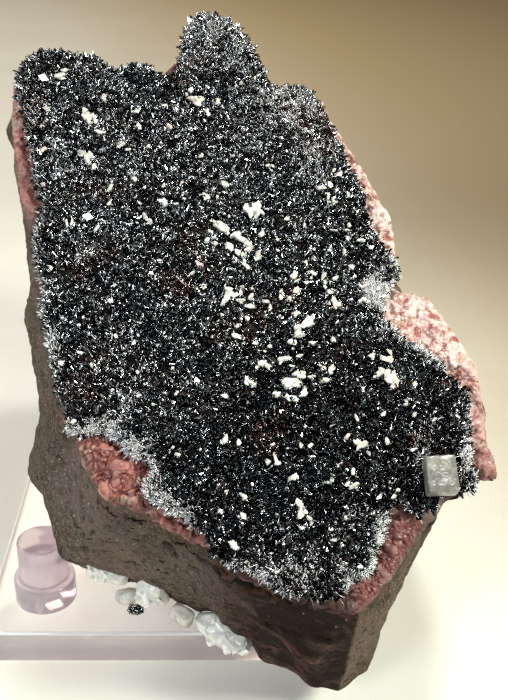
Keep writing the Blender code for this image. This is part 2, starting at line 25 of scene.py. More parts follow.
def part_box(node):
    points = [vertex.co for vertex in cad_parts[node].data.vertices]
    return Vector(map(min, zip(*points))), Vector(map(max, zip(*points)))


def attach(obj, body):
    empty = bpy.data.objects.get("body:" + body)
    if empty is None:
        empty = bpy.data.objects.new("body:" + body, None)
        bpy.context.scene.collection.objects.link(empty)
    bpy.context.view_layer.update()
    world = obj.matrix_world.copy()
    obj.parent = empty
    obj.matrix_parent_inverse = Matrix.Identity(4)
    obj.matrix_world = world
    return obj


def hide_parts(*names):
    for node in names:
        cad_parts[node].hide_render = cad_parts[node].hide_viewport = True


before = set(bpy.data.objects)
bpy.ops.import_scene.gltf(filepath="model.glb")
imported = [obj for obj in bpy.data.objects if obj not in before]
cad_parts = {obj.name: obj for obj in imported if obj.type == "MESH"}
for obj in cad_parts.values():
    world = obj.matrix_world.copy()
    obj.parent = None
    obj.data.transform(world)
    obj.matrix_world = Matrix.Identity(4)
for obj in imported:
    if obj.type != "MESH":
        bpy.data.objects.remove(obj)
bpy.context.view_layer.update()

LOG = logging.getLogger("specimen")

MM = 0.001
BODY = "root"
SEED = 41

# Pass index of the pieces whose sparkle isn't smoothed away in the picture.
SPARKLING = 1

Colour = tuple[float, float, float]
Point = tuple[float, float, float]
Random = np.random.Generator

# One layer of fine relief: its size, detail and depth.
Relief = tuple[float, float, float]

# A soft edge: its direction, and how far along it a zone starts and is full.
Edge = tuple[Point, float, float]
Zone = tuple[Edge, ...]

# Several zones, each after its strength.
Zones = tuple[tuple[float, Zone], ...]

# A round zone of the face: u, v, radius and strength.
Round = tuple[float, float, float, float]

# A group of crystals: u, v, heading, length and width.
Group = tuple[float, float, float, float, float]

# Directions along the specimen's width, height and depth.
U: Point = (1.0, 0.0, 0.0)
V: Point = (0.0, 1.0, 0.0)
W: Point = (0.0, 0.0, 1.0)

# Level above the back, in millimetres, that nothing of the specimen reaches.
CLEAR_LEVEL = 50.0

FRONT_LAMP: Point = (-0.20, -0.36, 0.24)


class Slot(Enum):
    """The record's material slots."""

    ROCK = "matrix_rock"
    RIND = "red_rind"
    HEMATITE = "hematite"
    WHITE_CALCITE = "white_calcite"
    CLEAR_CALCITE = "clear_calcite"
    ACRYLIC = "acrylic"


SPARKLING_SLOTS = (Slot.HEMATITE, Slot.WHITE_CALCITE)
SMOOTHED_PIECES = ("edge_calcite", "calcite_cluster")


class Habit(Enum):
    """How a small calcite crystal has grown."""

    FLAKE = "flake"
    LATH = "lath"
    BLOCK = "block"


@dataclass(frozen=True)
class FaceFrame:
    """The leaning specimen's own frame, in millimetres.

    Attributes:
        lean: Angle between the specimen's back and the ground.
        corner: The lowest back corner, in the scene.
    """

    lean: float = math.radians(30)
    corner: Point = (0.0262, -0.0401, 0.0055)

    @cached_property
    def turn(self) -> np.ndarray:
        """Directions of u, v and w in the scene, as columns."""
        return np.array(Matrix.Rotation(self.lean, 3, "X"))

    @cached_property
    def out(self) -> Vector:
        """Direction straight out of the face."""
        return Vector(self.turn[:, 2])

    def to_scene(self, points: np.ndarray) -> np.ndarray:
        """Turn (u, v, w) rows in millimetres into scene points."""
        return points @ self.turn.T * MM + np.array(self.corner)

    def to_face(self, points: np.ndarray) -> np.ndarray:
        """Turn scene points into (u, v, w) rows in millimetres."""
        return (points - np.array(self.corner)) @ self.turn / MM


FACE = FaceFrame()


def only(piece: Object) -> None:
    """Select one object alone and make it the active one."""
    for other in bpy.context.selected_objects:
        other.select_set(False)
    piece.select_set(True)
    bpy.context.view_layer.objects.active = piece


@contextmanager
def edit(piece: Object, selection: str = "DESELECT") -> Iterator[bmesh.types.BMesh]:
    """Open a piece in edit mode with nothing or all of it selected, and close it afterwards.

    Args:
        piece: The mesh object to edit.
        selection: SELECT for all of it.

    Yields:
        The edit mesh, whose faces are then selected in code.
    """
    only(piece)
    bpy.ops.object.mode_set(mode="EDIT")
    bpy.ops.mesh.select_mode(type="FACE")
    bpy.ops.mesh.select_all(action=selection)
    yield bmesh.from_edit_mesh(piece.data)
    bpy.ops.object.mode_set(mode="OBJECT")


def pick(bm: bmesh.types.BMesh, wanted: Callable[[bmesh.types.BMFace], bool]) -> None:
    """Select the faces that the test accepts, and no others."""
    for face in bm.faces:
        face.select_set(bool(wanted(face)))


def named(name: str) -> Object:
    """Name the primitive that was just added, and return it."""
    piece = bpy.context.active_object
    piece.name = name
    piece.data.name = name
    return piece


def settle(piece: Object) -> None:
    """Move a piece's place into its mesh, so that its object sits at the origin."""
    only(piece)
    bpy.ops.object.transform_apply(location=True, rotation=True, scale=True)


def apply_modifier(piece: Object, kind: str, **values: object) -> None:
    """Add a modifier with these values and apply it."""
    only(piece)
    modifier = piece.modifiers.new(kind.lower(), kind)
    for key, value in values.items():
        setattr(modifier, key, value)
    bpy.ops.object.modifier_apply(modifier=modifier.name)


def smooth_below(piece: Object, degrees: float) -> None:
    """Smooth the edges that turn by less than this angle, and leave the sharper ones crisp."""
    only(piece)
    bpy.ops.object.shade_smooth_by_angle(angle=math.radians(degrees))


def merged_copy(node: str, name: str) -> Object:
    """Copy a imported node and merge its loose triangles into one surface.

    Args:
        node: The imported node's name.
        name: The new piece's name.

    Returns:
        The new piece, with no material.
    """
    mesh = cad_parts[node].data.copy()
    mesh.name = name
    mesh.materials.clear()
    piece = bpy.data.objects.new(name, mesh)
    bpy.context.scene.collection.objects.link(piece)
    with edit(piece, "SELECT"):
        bpy.ops.mesh.remove_doubles(threshold=1e-6)
        bpy.ops.mesh.customdata_custom_splitnormals_clear()
    return piece


def points_of(mesh: Mesh) -> np.ndarray:
    """The mesh's points as rows."""
    rows = np.empty(len(mesh.vertices) * 3)
    mesh.vertices.foreach_get("co", rows)
    return rows.reshape(-1, 3)


def normals_of(mesh: Mesh) -> np.ndarray:
    """The outward directions at the mesh's points, as rows."""
    rows = np.empty(len(mesh.vertices) * 3)
    mesh.vertices.foreach_get("normal", rows)
    return rows.reshape(-1, 3)


def move_points(mesh: Mesh, points: np.ndarray) -> None:
    """Put the mesh's points at these rows."""
    mesh.vertices.foreach_set("co", points.ravel())
    mesh.update()


def store(mesh: Mesh, name: str, values: np.ndarray) -> None:
    """Keep one number for each point of the mesh, for its finish to read."""
    layer = mesh.attributes.new(name, "FLOAT", "POINT")
    layer.data.foreach_set("value", values.astype(np.float32))


def rough(points: np.ndarray, size: float | Point, octaves: int = 1, seed: float = 0.0) -> np.ndarray:
    """Smooth random heights between about -1 and 1.

    Args:
        points: Places, as rows.
        size: Distance over which the heights change, or one for each direction, in the rows' own unit.
        octaves: How many finer layers are added.
        seed: Shift that gives another pattern.

    Returns:
        One height for each row.
    """
    scaled = points / np.array(size) + seed
    if octaves == 1:
        return np.array([noise.noise(row) for row in scaled])
    return np.array([noise.fractal(row, 1.0, 2.0, octaves) for row in scaled])


def blend_share(values: np.ndarray, low: float, high: float) -> np.ndarray:
    """Smooth step from 0 at low to 1 at high."""
    share = np.clip((values - low) / (high - low), 0.0, 1.0)
    return share * share * (3.0 - 2.0 * share)


@dataclass(frozen=True)
class Blotches:
    """Soft-edged random patches on a surface.

    Attributes:
        size: About how far across they are, in the places' own unit.
        seed: Shift that gives another pattern.
        low: Height at which a patch starts.
        high: Height at which it is full.
    """

    size: float
    seed: float
    low: float
    high: float

    def share(self, points: np.ndarray) -> np.ndarray:
        """How far each place is inside a patch, from 0 to 1."""
        return blend_share(rough(points, self.size, 2, self.seed), self.low, self.high)


def zone(place: np.ndarray, edges: Zone) -> np.ndarray:
    """How far each (u, v, w) place is inside a zone with soft edges, from 0 to 1."""
    share = np.ones(len(place))
    for direction, low, high in edges:
        share *= blend_share(place @ np.array(direction), low, high)
    return share


def strongest(place: np.ndarray, zones: Zones) -> np.ndarray:
    """The strongest of several zones at each place."""
    return np.max([strength * zone(place, edges) for strength, edges in zones], axis=0)


def summed(place: np.ndarray, zones: Zones) -> np.ndarray:
    """The sum of several zones at each place."""
    return sum(strength * zone(place, edges) for strength, edges in zones)


def around(place: np.ndarray, u: float, v: float, radius: float, core: float) -> np.ndarray:
    """How far each (u, v) place is inside a round zone, which is full in this share of its radius."""
    reach = np.linalg.norm(place - np.array((u, v)), axis=1)
    return blend_share(reach, radius, radius * core)


def point_tree(points: np.ndarray | list[np.ndarray]) -> KDTree:
    """Search tree of points."""
    tree = KDTree(len(points))
    for number, point in enumerate(points):
        tree.insert(point, number)
    tree.balance()
    return tree


def surface_tree(mesh: Mesh) -> BVHTree:
    """Search tree of a mesh's faces."""
    return BVHTree.FromPolygons(points_of(mesh).tolist(), [tuple(face.vertices) for face in mesh.polygons])


def met(surface: BVHTree, u: float, v: float) -> tuple[Vector | None, Vector | None]:
    """Where a line straight onto the face meets a surface, and the direction out of it there."""
    start = Vector(FACE.to_scene(np.array([[u, v, CLEAR_LEVEL]]))[0])
    return surface.ray_cast(start, -FACE.out)[:2]


def hand_over(piece: Object, slot: Slot, material: Material, *nodes: str) -> None:
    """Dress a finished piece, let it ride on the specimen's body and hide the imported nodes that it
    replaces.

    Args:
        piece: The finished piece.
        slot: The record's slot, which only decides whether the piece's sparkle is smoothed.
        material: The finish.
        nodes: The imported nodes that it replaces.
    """
    piece.data.materials.clear()
    piece.data.materials.append(material)
    sparkles = slot in SPARKLING_SLOTS and not piece.name.startswith(SMOOTHED_PIECES)
    piece.pass_index = SPARKLING if sparkles else 0
    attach(piece, BODY)
    if nodes:
        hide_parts(*nodes)
    LOG.info("%s: %d faces", piece.name, len(piece.data.polygons))


@dataclass
class Pattern:
    """One small crystal, about one unit across, modelled once and repeated.

    Attributes:
        points: Its points as rows.
        faces: Its faces, as lists of point numbers.
    """

    points: np.ndarray
    faces: list[list[int]]

    @classmethod
    def taken_from(cls, piece: Object) -> "Pattern":
        """Read a modelled crystal and remove its object."""
        pattern = cls(points_of(piece.data), [list(face.vertices) for face in piece.data.polygons])
        bpy.data.objects.remove(piece)
        return pattern

    def repeated(
        self, name: str, centres: np.ndarray, axes: np.ndarray, values: dict[str, np.ndarray] | None = None
    ) -> Object:
        """Join many copies of the crystal into one mesh.

        Args:
            name: The new piece's name.
            centres: Scene place of each copy.
            axes: For each copy, its three directions as rows, as long as its sides.
            values: Numbers to keep for each copy, by name, for its finish to read.

        Returns:
            The joined piece.
        """
        count = len(centres)
        size = len(self.points)
        points = np.einsum("pk,nkj->npj", self.points, axes) + centres[:, None, :]
        corners = np.concatenate([np.array(face) for face in self.faces])
        totals = np.array([len(face) for face in self.faces])
        starts = np.concatenate([[0], np.cumsum(totals)[:-1]])
        shift = np.arange(count)[:, None]
        mesh = bpy.data.meshes.new(name)
        mesh.vertices.add(count * size)
        mesh.vertices.foreach_set("co", points.ravel())
        mesh.loops.add(count * len(corners))
        mesh.loops.foreach_set("vertex_index", (corners[None, :] + shift * size).ravel())
        mesh.polygons.add(count * len(totals))
        mesh.polygons.foreach_set("loop_start", (starts[None, :] + shift * len(corners)).ravel())
        mesh.polygons.foreach_set("loop_total", np.tile(totals, count))
        mesh.update(calc_edges=True)
        for key, numbers in (values or {}).items():
            store(mesh, key, np.repeat(numbers, size))
        piece = bpy.data.objects.new(name, mesh)
        bpy.context.scene.collection.objects.link(piece)
        return piece


@dataclass(frozen=True)
class Patches:
    """Soft-edged patches of noise.

    Attributes:
        size: About how far across they are, in metres.
        detail: How many finer layers they have.
        low: Noise at which a patch starts.
        high: Noise at which it is full.
        top: Its share where it is full.
        bend: How far its outline is bent.
    """

    size: float
    detail: float
    low: float
    high: float
    top: float = 1.0
    bend: float = 0.0


class NodeGraph:
    """A new material's node tree, with short calls for the nodes that the finishes use."""

    def __init__(self, name: str) -> None:
        """Start a material that holds only its shader and output."""
        self.material = bpy.data.materials.new(name)
        self.material.use_nodes = True
        self.tree = self.material.node_tree
        self.shader = self.tree.nodes["Principled BSDF"]
        self.place = self.tree.nodes.new("ShaderNodeTexCoord").outputs["Object"]

    def plug(self, socket: NodeSocket, value: object) -> None:
        """Link a socket to the input, or set the input's own value."""
        if isinstance(value, NodeSocket):
            self.tree.links.new(value, socket)
        else:
            socket.default_value = value

    def add(self, kind: str, inputs: dict[str | int, object], **settings: object) -> Node:
        """Add a node.

        Args:
            kind: The node's type.
            inputs: What its inputs are linked to or set to.
            settings: Values of the node itself.

        Returns:
            The new node.
        """
        node = self.tree.nodes.new(kind)
        for key, value in settings.items():
            setattr(node, key, value)
        for key, value in inputs.items():
            self.plug(node.inputs[key], value)
        return node

    def set(self, **values: object) -> None:
        """Link or set the shader's inputs, with _ for the spaces in their names."""
        for key, value in values.items():
            self.plug(self.shader.inputs[key.replace("_", " ")], value)

    def noise(self, size: float, detail: float = 2.0, distortion: float = 0.0) -> NodeSocket:
        """Noise whose patches are about this many metres across."""
        inputs = {"Vector": self.place, "Scale": 1.0 / size, "Detail": detail, "Distortion": distortion}
        return self.add("ShaderNodeTexNoise", inputs).outputs["Fac"]

    def cells(self, size: float) -> NodeSocket:
        """Distance from the middles of cells that are about this many metres across."""
        inputs = {"Vector": self.place, "Scale": 1.0 / size}
        return self.add("ShaderNodeTexVoronoi", inputs).outputs["Distance"]

    def kept(self, name: str) -> NodeSocket:
        """A number that the piece keeps for each point."""
        return self.add("ShaderNodeAttribute", {}, attribute_name=name).outputs["Fac"]

    def step(self, value: NodeSocket, low: float, high: float, top: float = 1.0) -> NodeSocket:
        """Spread a value from 0 at low to top at high."""
        inputs = {"Value": value, "From Min": low, "From Max": high, "To Max": top}
        return self.add("ShaderNodeMapRange", inputs, interpolation_type="SMOOTHSTEP").outputs["Result"]

    def patches(self, kind: Patches) -> NodeSocket:
        """The share of each place in soft-edged patches of noise."""
        return self.step(self.noise(kind.size, kind.detail, kind.bend), kind.low, kind.high, kind.top)

    def times(self, first: object, second: object) -> NodeSocket:
        """Multiply two numbers."""
        return self.math("MULTIPLY", first, second)

    def math(self, operation: str, first: object, second: object = 0.0) -> NodeSocket:
        """Work out a number from one or two others."""
        return self.add("ShaderNodeMath", {0: first, 1: second}, operation=operation).outputs[0]

    def mix(self, share: object, first: object, second: object) -> NodeSocket:
        """Mix two colours."""
        inputs = {0: share, 6: rgba(first), 7: rgba(second)}
        return self.add("ShaderNodeMix", inputs, data_type="RGBA").outputs[2]

    def let_lamps_through(self, tint: Colour) -> None:
        """Let lamps shine through the material, tinted, in place of a black shadow."""
        ray = self.add("ShaderNodeLightPath", {}).outputs["Is Shadow Ray"]
        window = self.add("ShaderNodeBsdfTransparent", {"Color": rgba(tint)})
        both = self.add("ShaderNodeMixShader", {0: ray, 1: self.shader.outputs[0], 2: window.outputs[0]})
        self.plug(self.tree.nodes["Material Output"].inputs["Surface"], both.outputs[0])

    def bump(self, height: NodeSocket, depth: float) -> None:
        """Give the shader a relief of this depth in metres, on top of any it has."""
        inputs = {"Height": height, "Distance": depth, "Strength": 1.0}
        links = self.shader.inputs["Normal"].links
        if links:
            inputs["Normal"] = links[0].from_socket
        self.set(Normal=self.add("ShaderNodeBump", inputs).outputs["Normal"])

    def reliefs(self, layers: tuple[Relief, ...]) -> None:
        """Give the shader these layers of noisy relief."""
        for size, detail, depth in layers:
            self.bump(self.noise(size, detail), depth)


def rgba(colour: object) -> object:
    """Give a plain colour its alpha, and pass a socket on as it is."""
    return (*colour, 1.0) if isinstance(colour, tuple) else colour


@dataclass(frozen=True)
class RockFinish:
    """Fine dark rock: warm grey-brown, stained red in places, with dark seams and a pale sandy grain.

    Attributes:
        grey: Main colour, which large olive patches break up.
        red: Iron stain.
        shade: Colour in the shade below the druse.
        dark: Colour of blotches and seams, and of the painted shade in cracks, in pits and under the clear
            rhomb.
        speck: Colour of the sand and of single grains.
        blotch_share: How far the blotches darken it.
        sand_share: How much the sand shows, and how much less of it on a split face.
        grain_size: Spacing of the single grains.
        grain_edge: Where a grain's rim fades out and where it is full.
        seam_wave: How wide the waves of the dark seams are.
        seam_edge: Where a seam fades out and where it is full, as shares of a layer.
        roughness: How dull the rock is.
        gloss: How strongly it mirrors.
        crack_depth: How deep the dark cracks look.
    """

    grey: Colour = (0.138, 0.100, 0.080)
    olive: Colour = (0.088, 0.066, 0.046)
    red: Colour = (0.105, 0.040, 0.028)
    shade: Colour = (0.012, 0.0075, 0.0042)
    dark: Colour = (0.008, 0.006, 0.005)
    speck: Colour = (0.52, 0.46, 0.39)
    olive_patches: Patches = Patches(0.012, 3.0, 0.40, 0.64)
    stains: Patches = Patches(0.005, 4.0, 0.36, 0.56)
    blotches: Patches = Patches(0.0013, 5.0, 0.46, 0.70, bend=0.3)
    blotch_share: float = 0.55
    sand: Patches = Patches(0.00035, 3.0, 0.52, 0.72)
    sand_share: tuple[float, float] = (0.42, 0.20)
    shadows: Patches = Patches(0.005, 4.0, 0.78, 0.48, bend=0.4)
    blushes: Patches = Patches(0.0042, 3.0, 0.56, 0.64, top=0.5)
    grain_size: float = 0.0011
    grain_edge: tuple[float, float] = (0.16, 0.07)
    grain_patches: Patches = Patches(0.003, 3.0, 0.57, 0.63)
    seam_wave: float = 0.0022
    seam_edge: tuple[float, float] = (0.045, 0.012)
    seam_patches: Patches = Patches(0.0042, 2.0, 0.50, 0.57)
    roughness: float = 0.80
    gloss: float = 0.05
    relief: tuple[Relief, ...] = ((0.0014, 6.0, 0.00070), (0.00032, 3.0, 0.00018))
    crack_depth: float = 0.00030

    def material(self) -> Material:
        """Build the rock's material."""
        graph = NodeGraph("matrix rock")
        colour = graph.mix(graph.patches(self.olive_patches), self.grey, self.olive)
        colour = graph.mix(graph.times(graph.kept("stain"), graph.patches(self.stains)), colour, self.red)
        colour = graph.mix(graph.times(graph.patches(self.blotches), self.blotch_share), colour, self.dark)
        most, less = self.sand_share
        sand = graph.math("SUBTRACT", most, graph.times(graph.kept("split"), less))
        colour = graph.mix(graph.times(graph.patches(self.sand), sand), colour, self.speck)
        colour = graph.mix(graph.times(graph.kept("shade"), graph.patches(self.shadows)), colour, self.shade)
        colour = graph.mix(graph.times(graph.kept("shade"), graph.patches(self.blushes)), colour, self.red)
        grains = graph.step(graph.cells(self.grain_size), *self.grain_edge)
        colour = graph.mix(graph.times(grains, graph.patches(self.grain_patches)), colour, self.speck)
        # Cracks and pits get painted shade, and the ledge under the clear rhomb gets a painted shadow; the
        # seams are the rock's own.
        cracks = graph.math("MAXIMUM", graph.kept("crack"), self.seams(graph))
        colour = graph.mix(cracks, colour, self.dark)
        graph.set(Base_Color=colour, Roughness=self.roughness, Specular_IOR_Level=self.gloss)
        graph.reliefs(self.relief)
        graph.bump(graph.math("SUBTRACT", 1.0, cracks), self.crack_depth)
        return graph.material

    def seams(self, graph: NodeGraph) -> NodeSocket:
        """The broken dark seams between the layers of the split faces."""
        level = graph.math("ADD", graph.kept("layer"), graph.noise(self.seam_wave, 3.0))
        seam = graph.step(graph.math("PINGPONG", level, 0.5), *self.seam_edge)
        return graph.times(graph.times(seam, graph.patches(self.seam_patches)), graph.kept("split"))


@dataclass(frozen=True)
class RindFinish:
    """Lumpy red rind: coral tops, ochre patches, maroon hollows with painted shade, pale dust and small
    glossy specks.

    Attributes:
        coral: Main colour, which rose and ochre patches break up.
        wine: A darker wine-red, in patches everywhere and more in some zones.
        gloom: Colour in the shade below the druse.
        maroon: Colour of the hollows between lumps, a deeper red under painted shade.
        pale: Colour of the dust.
        rock: Colour where rock covers the rind.
    """

    coral: Colour = (0.39, 0.116, 0.080)
    rose: Colour = (0.24, 0.078, 0.062)
    ochre: Colour = (0.42, 0.31, 0.21)
    wine: Colour = (0.135, 0.048, 0.040)
    gloom: Colour = (0.040, 0.016, 0.012)
    maroon: Colour = (0.120, 0.028, 0.024)
    pale: Colour = (0.80, 0.59, 0.53)
    rock: Colour = (0.095, 0.070, 0.056)
    rose_patches: Patches = Patches(0.0030, 3.0, 0.38, 0.62)
    ochre_patches: Patches = Patches(0.0050, 2.0, 0.57, 0.66, top=0.8, bend=0.3)
    aged_patches: Patches = Patches(0.0026, 3.0, 0.12, 0.36)
    dust_patches: Patches = Patches(0.0012, 4.0, 0.34, 0.58)
    hollow_patches: Patches = Patches(0.0012, 3.0, 0.25, 0.55)
    glossy_specks: Patches = Patches(0.0005, 2.0, 0.66, 0.40, top=0.60)
    relief: tuple[Relief, ...] = ((0.0006, 4.0, 0.00022),)

    def material(self) -> Material:
        """Build the rind's material."""
        graph = NodeGraph("red rind")
        colour = graph.mix(graph.patches(self.rose_patches), self.coral, self.rose)
        colour = graph.mix(graph.patches(self.ochre_patches), colour, self.ochre)
        # Darker wine-red, pale dust, and the painted shade in the creases.
        for key, patches, tint in (
            ("aged", self.aged_patches, self.wine),
            ("dust", self.dust_patches, self.pale),
            ("hollow", self.hollow_patches, self.maroon),
        ):
            colour = graph.mix(graph.times(graph.kept(key), graph.patches(patches)), colour, tint)
        colour = graph.mix(graph.kept("gloom"), colour, self.gloom)
        colour = graph.mix(graph.kept("buried"), colour, self.rock)
        hidden = graph.math("MAXIMUM", graph.kept("gloom"), graph.kept("buried"))
        dull = graph.math("MAXIMUM", graph.patches(self.glossy_specks), hidden)
        graph.set(Base_Color=colour, Roughness=dull)
        graph.reliefs(self.relief)
        return graph.material


@dataclass(frozen=True)
class HematiteFinish:
    """Black metallic crystal faces, some brighter than others, with a cool or a red tint in places.

    Attributes:
        black: Colour of the dullest faces, with teal and maroon tints.
        steel: Colour of the brightest.
        roughness: How dull every face is.
    """

    black: Colour = (0.023, 0.023, 0.025)
    steel: Colour = (0.80, 0.82, 0.83)
    teal: Colour = (0.025, 0.036, 0.039)
    maroon: Colour = (0.110, 0.060, 0.048)
    teal_patches: Patches = Patches(0.007, 2.0, 0.50, 0.66)
    maroon_patches: Patches = Patches(0.009, 3.0, 0.56, 0.70, top=0.8, bend=0.5)
    roughness: float = 0.25

    def material(self) -> Material:
        """Build the hematite's material."""
        graph = NodeGraph("hematite")
        tint = graph.mix(graph.patches(self.teal_patches), self.black, self.teal)
        tint = graph.mix(graph.patches(self.maroon_patches), tint, self.maroon)
        colour = graph.mix(graph.kept("tone"), tint, self.steel)
        graph.set(Base_Color=colour, Metallic=1.0, Roughness=self.roughness)
        return graph.material


@dataclass(frozen=True)
class GroundFinish:
    """The dark crust between the blades.

    Attributes:
        black: Main colour, which maroon patches break up.
        metal: How metallic it is.
        roughness: How dull it is.
        pit_size: Spacing of its fine pits.
        pit_depth: Their depth.
    """

    black: Colour = (0.010, 0.009, 0.010)
    maroon: Colour = (0.038, 0.015, 0.012)
    maroon_patches: Patches = Patches(0.006, 3.0, 0.50, 0.68)
    metal: float = 0.5
    roughness: float = 0.5
    pit_size: float = 0.0004
    pit_depth: float = 0.0002

    def material(self) -> Material:
        """Build the crust's material."""
        graph = NodeGraph("crust ground")
        colour = graph.mix(graph.patches(self.maroon_patches), self.black, self.maroon)
        graph.set(Base_Color=colour, Metallic=self.metal, Roughness=self.roughness)
        graph.bump(graph.cells(self.pit_size), self.pit_depth)
        return graph.material


@dataclass(frozen=True)
class FrostFinish:
    """Fine grey-white crystals that edge the druse.

    Attributes:
        pale: Colour of the palest crystals.
        grey: Colour of the darkest.
        roughness: How dull they are.
        refraction: Index of refraction.
    """

    pale: Colour = (0.97, 0.94, 0.93)
    grey: Colour = (0.16, 0.155, 0.155)
    roughness: float = 0.22
    refraction: float = 1.6

    def material(self) -> Material:
        """Build the frost's material."""
        graph = NodeGraph("frost")
        colour = graph.mix(graph.kept("tone"), self.grey, self.pale)
        graph.set(Base_Color=colour, Roughness=self.roughness, IOR=self.refraction)
        return graph.material


@dataclass(frozen=True)
class CalciteFinish:
    """Cream-white calcite with a soft glow and faint cloudy bands.

    Attributes:
        cream: Main colour.
        cloud: Colour of the cloudy bands.
        blush: Warm tint of some crystals.
        roughness: How dull the crystals are.
        glow: How much light passes under the surface.
        glow_reach: How far it passes.
        refraction: Index of refraction.
    """

    cream: Colour = (0.80, 0.76, 0.68)
    cloud: Colour = (0.46, 0.43, 0.385)
    blush: Colour = (0.74, 0.56, 0.48)
    cloud_patches: Patches = Patches(0.0009, 3.0, 0.40, 0.64)
    blush_patches: Patches = Patches(0.008, 1.0, 0.56, 0.66, top=0.7)
    roughness: float = 0.34
    glow: float = 0.25
    glow_reach: float = 0.0006
    refraction: float = 1.58
    relief: tuple[Relief, ...] = ((0.0003, 2.0, 0.00006),)

    def material(self) -> Material:
        """Build the white calcite's material."""
        graph = NodeGraph("white calcite")
        colour = graph.mix(graph.patches(self.cloud_patches), self.cream, self.cloud)
        colour = graph.mix(graph.patches(self.blush_patches), colour, self.blush)
        graph.set(Base_Color=colour, Roughness=self.roughness, IOR=self.refraction)
        graph.set(Subsurface_Weight=self.glow, Subsurface_Scale=self.glow_reach)
        graph.reliefs(self.relief)
        return graph.material


@dataclass(frozen=True)
class ClearCalciteFinish:
    """Translucent grey-white calcite with milky veils inside and small painted glints.

    Attributes:
        clear: Colour where it is clear.
        milk: Colour of the veils.
        painted_glint: Colour of the small painted glints.
        transmission: How much light passes where it is clear.
        veil_share: How much less of it passes in a veil.
        painted_glint_size: Spacing of the painted glints.
        painted_glint_edge: Where a painted glint's rim fades out and where it is full.
        refraction: Index of refraction.
    """

    clear: Colour = (0.31, 0.30, 0.265)
    milk: Colour = (0.25, 0.24, 0.205)
    painted_glint: Colour = (0.9, 0.9, 0.86)
    transmission: float = 0.6
    veils: Patches = Patches(0.0017, 5.0, 0.40, 0.60, bend=0.6)
    veil_share: float = 0.5
    painted_glint_size: float = 0.00055
    painted_glint_edge: tuple[float, float] = (0.20, 0.10)
    painted_glint_patches: Patches = Patches(0.001, 2.0, 0.5, 0.6)
    dull_patches: Patches = Patches(0.0012, 3.0, 0.3, 0.8, top=0.35)
    refraction: float = 1.6
    relief: tuple[Relief, ...] = ((0.0011, 6.0, 0.00011), (0.00028, 3.0, 0.00005))

    def material(self) -> Material:
        """Build the clear calcite's material."""
        graph = NodeGraph("clear calcite")
        veil = graph.patches(self.veils)
        # Small bright spots painted in as glints.
        painted_glints = graph.step(graph.cells(self.painted_glint_size), *self.painted_glint_edge)
        painted_glints = graph.times(painted_glints, graph.patches(self.painted_glint_patches))
        colour = graph.mix(painted_glints, graph.mix(veil, self.clear, self.milk), self.painted_glint)
        share = graph.math("SUBTRACT", self.transmission, graph.times(veil, self.veil_share))
        graph.set(Base_Color=colour, Roughness=graph.patches(self.dull_patches))
        graph.set(Transmission_Weight=share, IOR=self.refraction)
        graph.reliefs(self.relief)
        return graph.material


@dataclass(frozen=True)
class AcrylicFinish:
    """Clear acrylic with a faint rose tint through its thickness, a little milkiness and a painted highlight
    on marked rims.

    Attributes:
        surface: Its surface colour.
        shade: How it tints the lamps' light.
        tint: The colour that stays after a long way through it.
        density: How fast that colour takes over.
        milk: Colour of the light that it scatters.
        clouding: How much it scatters.
        glow: Colour of the painted highlight on a marked rim.
        smears: Bands in which its polish is a little duller.
        refraction: Index of refraction.
    """

    surface: Colour = (1.0, 0.985, 0.99)
    shade: Colour = (0.93, 0.93, 0.915)
    tint: Colour = (0.86, 0.79, 0.785)
    density: float = 30.0
    milk: Colour = (0.62, 0.56, 0.52)
    clouding: float = 0.12
    glow: Colour = (1.0, 0.98, 0.95)
    smears: Patches = Patches(0.004, 2.0, 0.3, 0.7, top=0.10)
    refraction: float = 1.49

    def material(self) -> Material:
        """Build the acrylic's material."""
        graph = NodeGraph("acrylic")
        # Painted highlight: the marked rims turn white and less clear.
        rim = graph.kept("rim")
        cloudy = graph.mix(self.clouding, self.surface, self.milk)
        graph.set(Base_Color=graph.mix(rim, cloudy, self.glow), Roughness=graph.patches(self.smears))
        graph.set(Transmission_Weight=graph.math("SUBTRACT", 1.0 - self.clouding, rim), IOR=self.refraction)
        graph.let_lamps_through(self.shade)
        inputs = {"Color": rgba(self.tint), "Density": self.density}
        absorbing = graph.add("ShaderNodeVolumeAbsorption", inputs)
        graph.plug(graph.tree.nodes["Material Output"].inputs["Volume"], absorbing.outputs["Volume"])
        return graph.material


@dataclass(frozen=True)
class FloorFinish:
    """A plain pale table top, cream with the faintest mottling, and a painted brown shade far to its right.

    Attributes:
        cream: The near colour.
        shade: Colour of the mottling.
        far_shade: Colour of the painted shade far to the right.
        turn: Where the painted shade starts and where it is full, along the table's fading direction.
        fading: That direction.
        roughness: How dull the table is.
    """

    cream: Colour = (0.82, 0.80, 0.735)
    shade: Colour = (0.78, 0.755, 0.69)
    mottling: Patches = Patches(0.03, 4.0, 0.35, 0.7)
    far_shade: Colour = (0.76, 0.60, 0.365)
    turn: tuple[float, float] = (0.01, 0.18)
    fading: Point = (1.0, 0.3, 0.0)
    roughness: float = 0.6

    def material(self) -> Material:
        """Build the table's material."""
        graph = NodeGraph("table")
        colour = graph.mix(graph.patches(self.mottling), self.cream, self.shade)
        inputs = {0: graph.place, 1: self.fading}
        away = graph.add("ShaderNodeVectorMath", inputs, operation="DOT_PRODUCT").outputs["Value"]
        # Painted shade, brown far to the right.
        colour = graph.mix(graph.step(away, *self.turn), colour, self.far_shade)
        graph.set(Base_Color=colour, Roughness=self.roughness)
        return graph.material


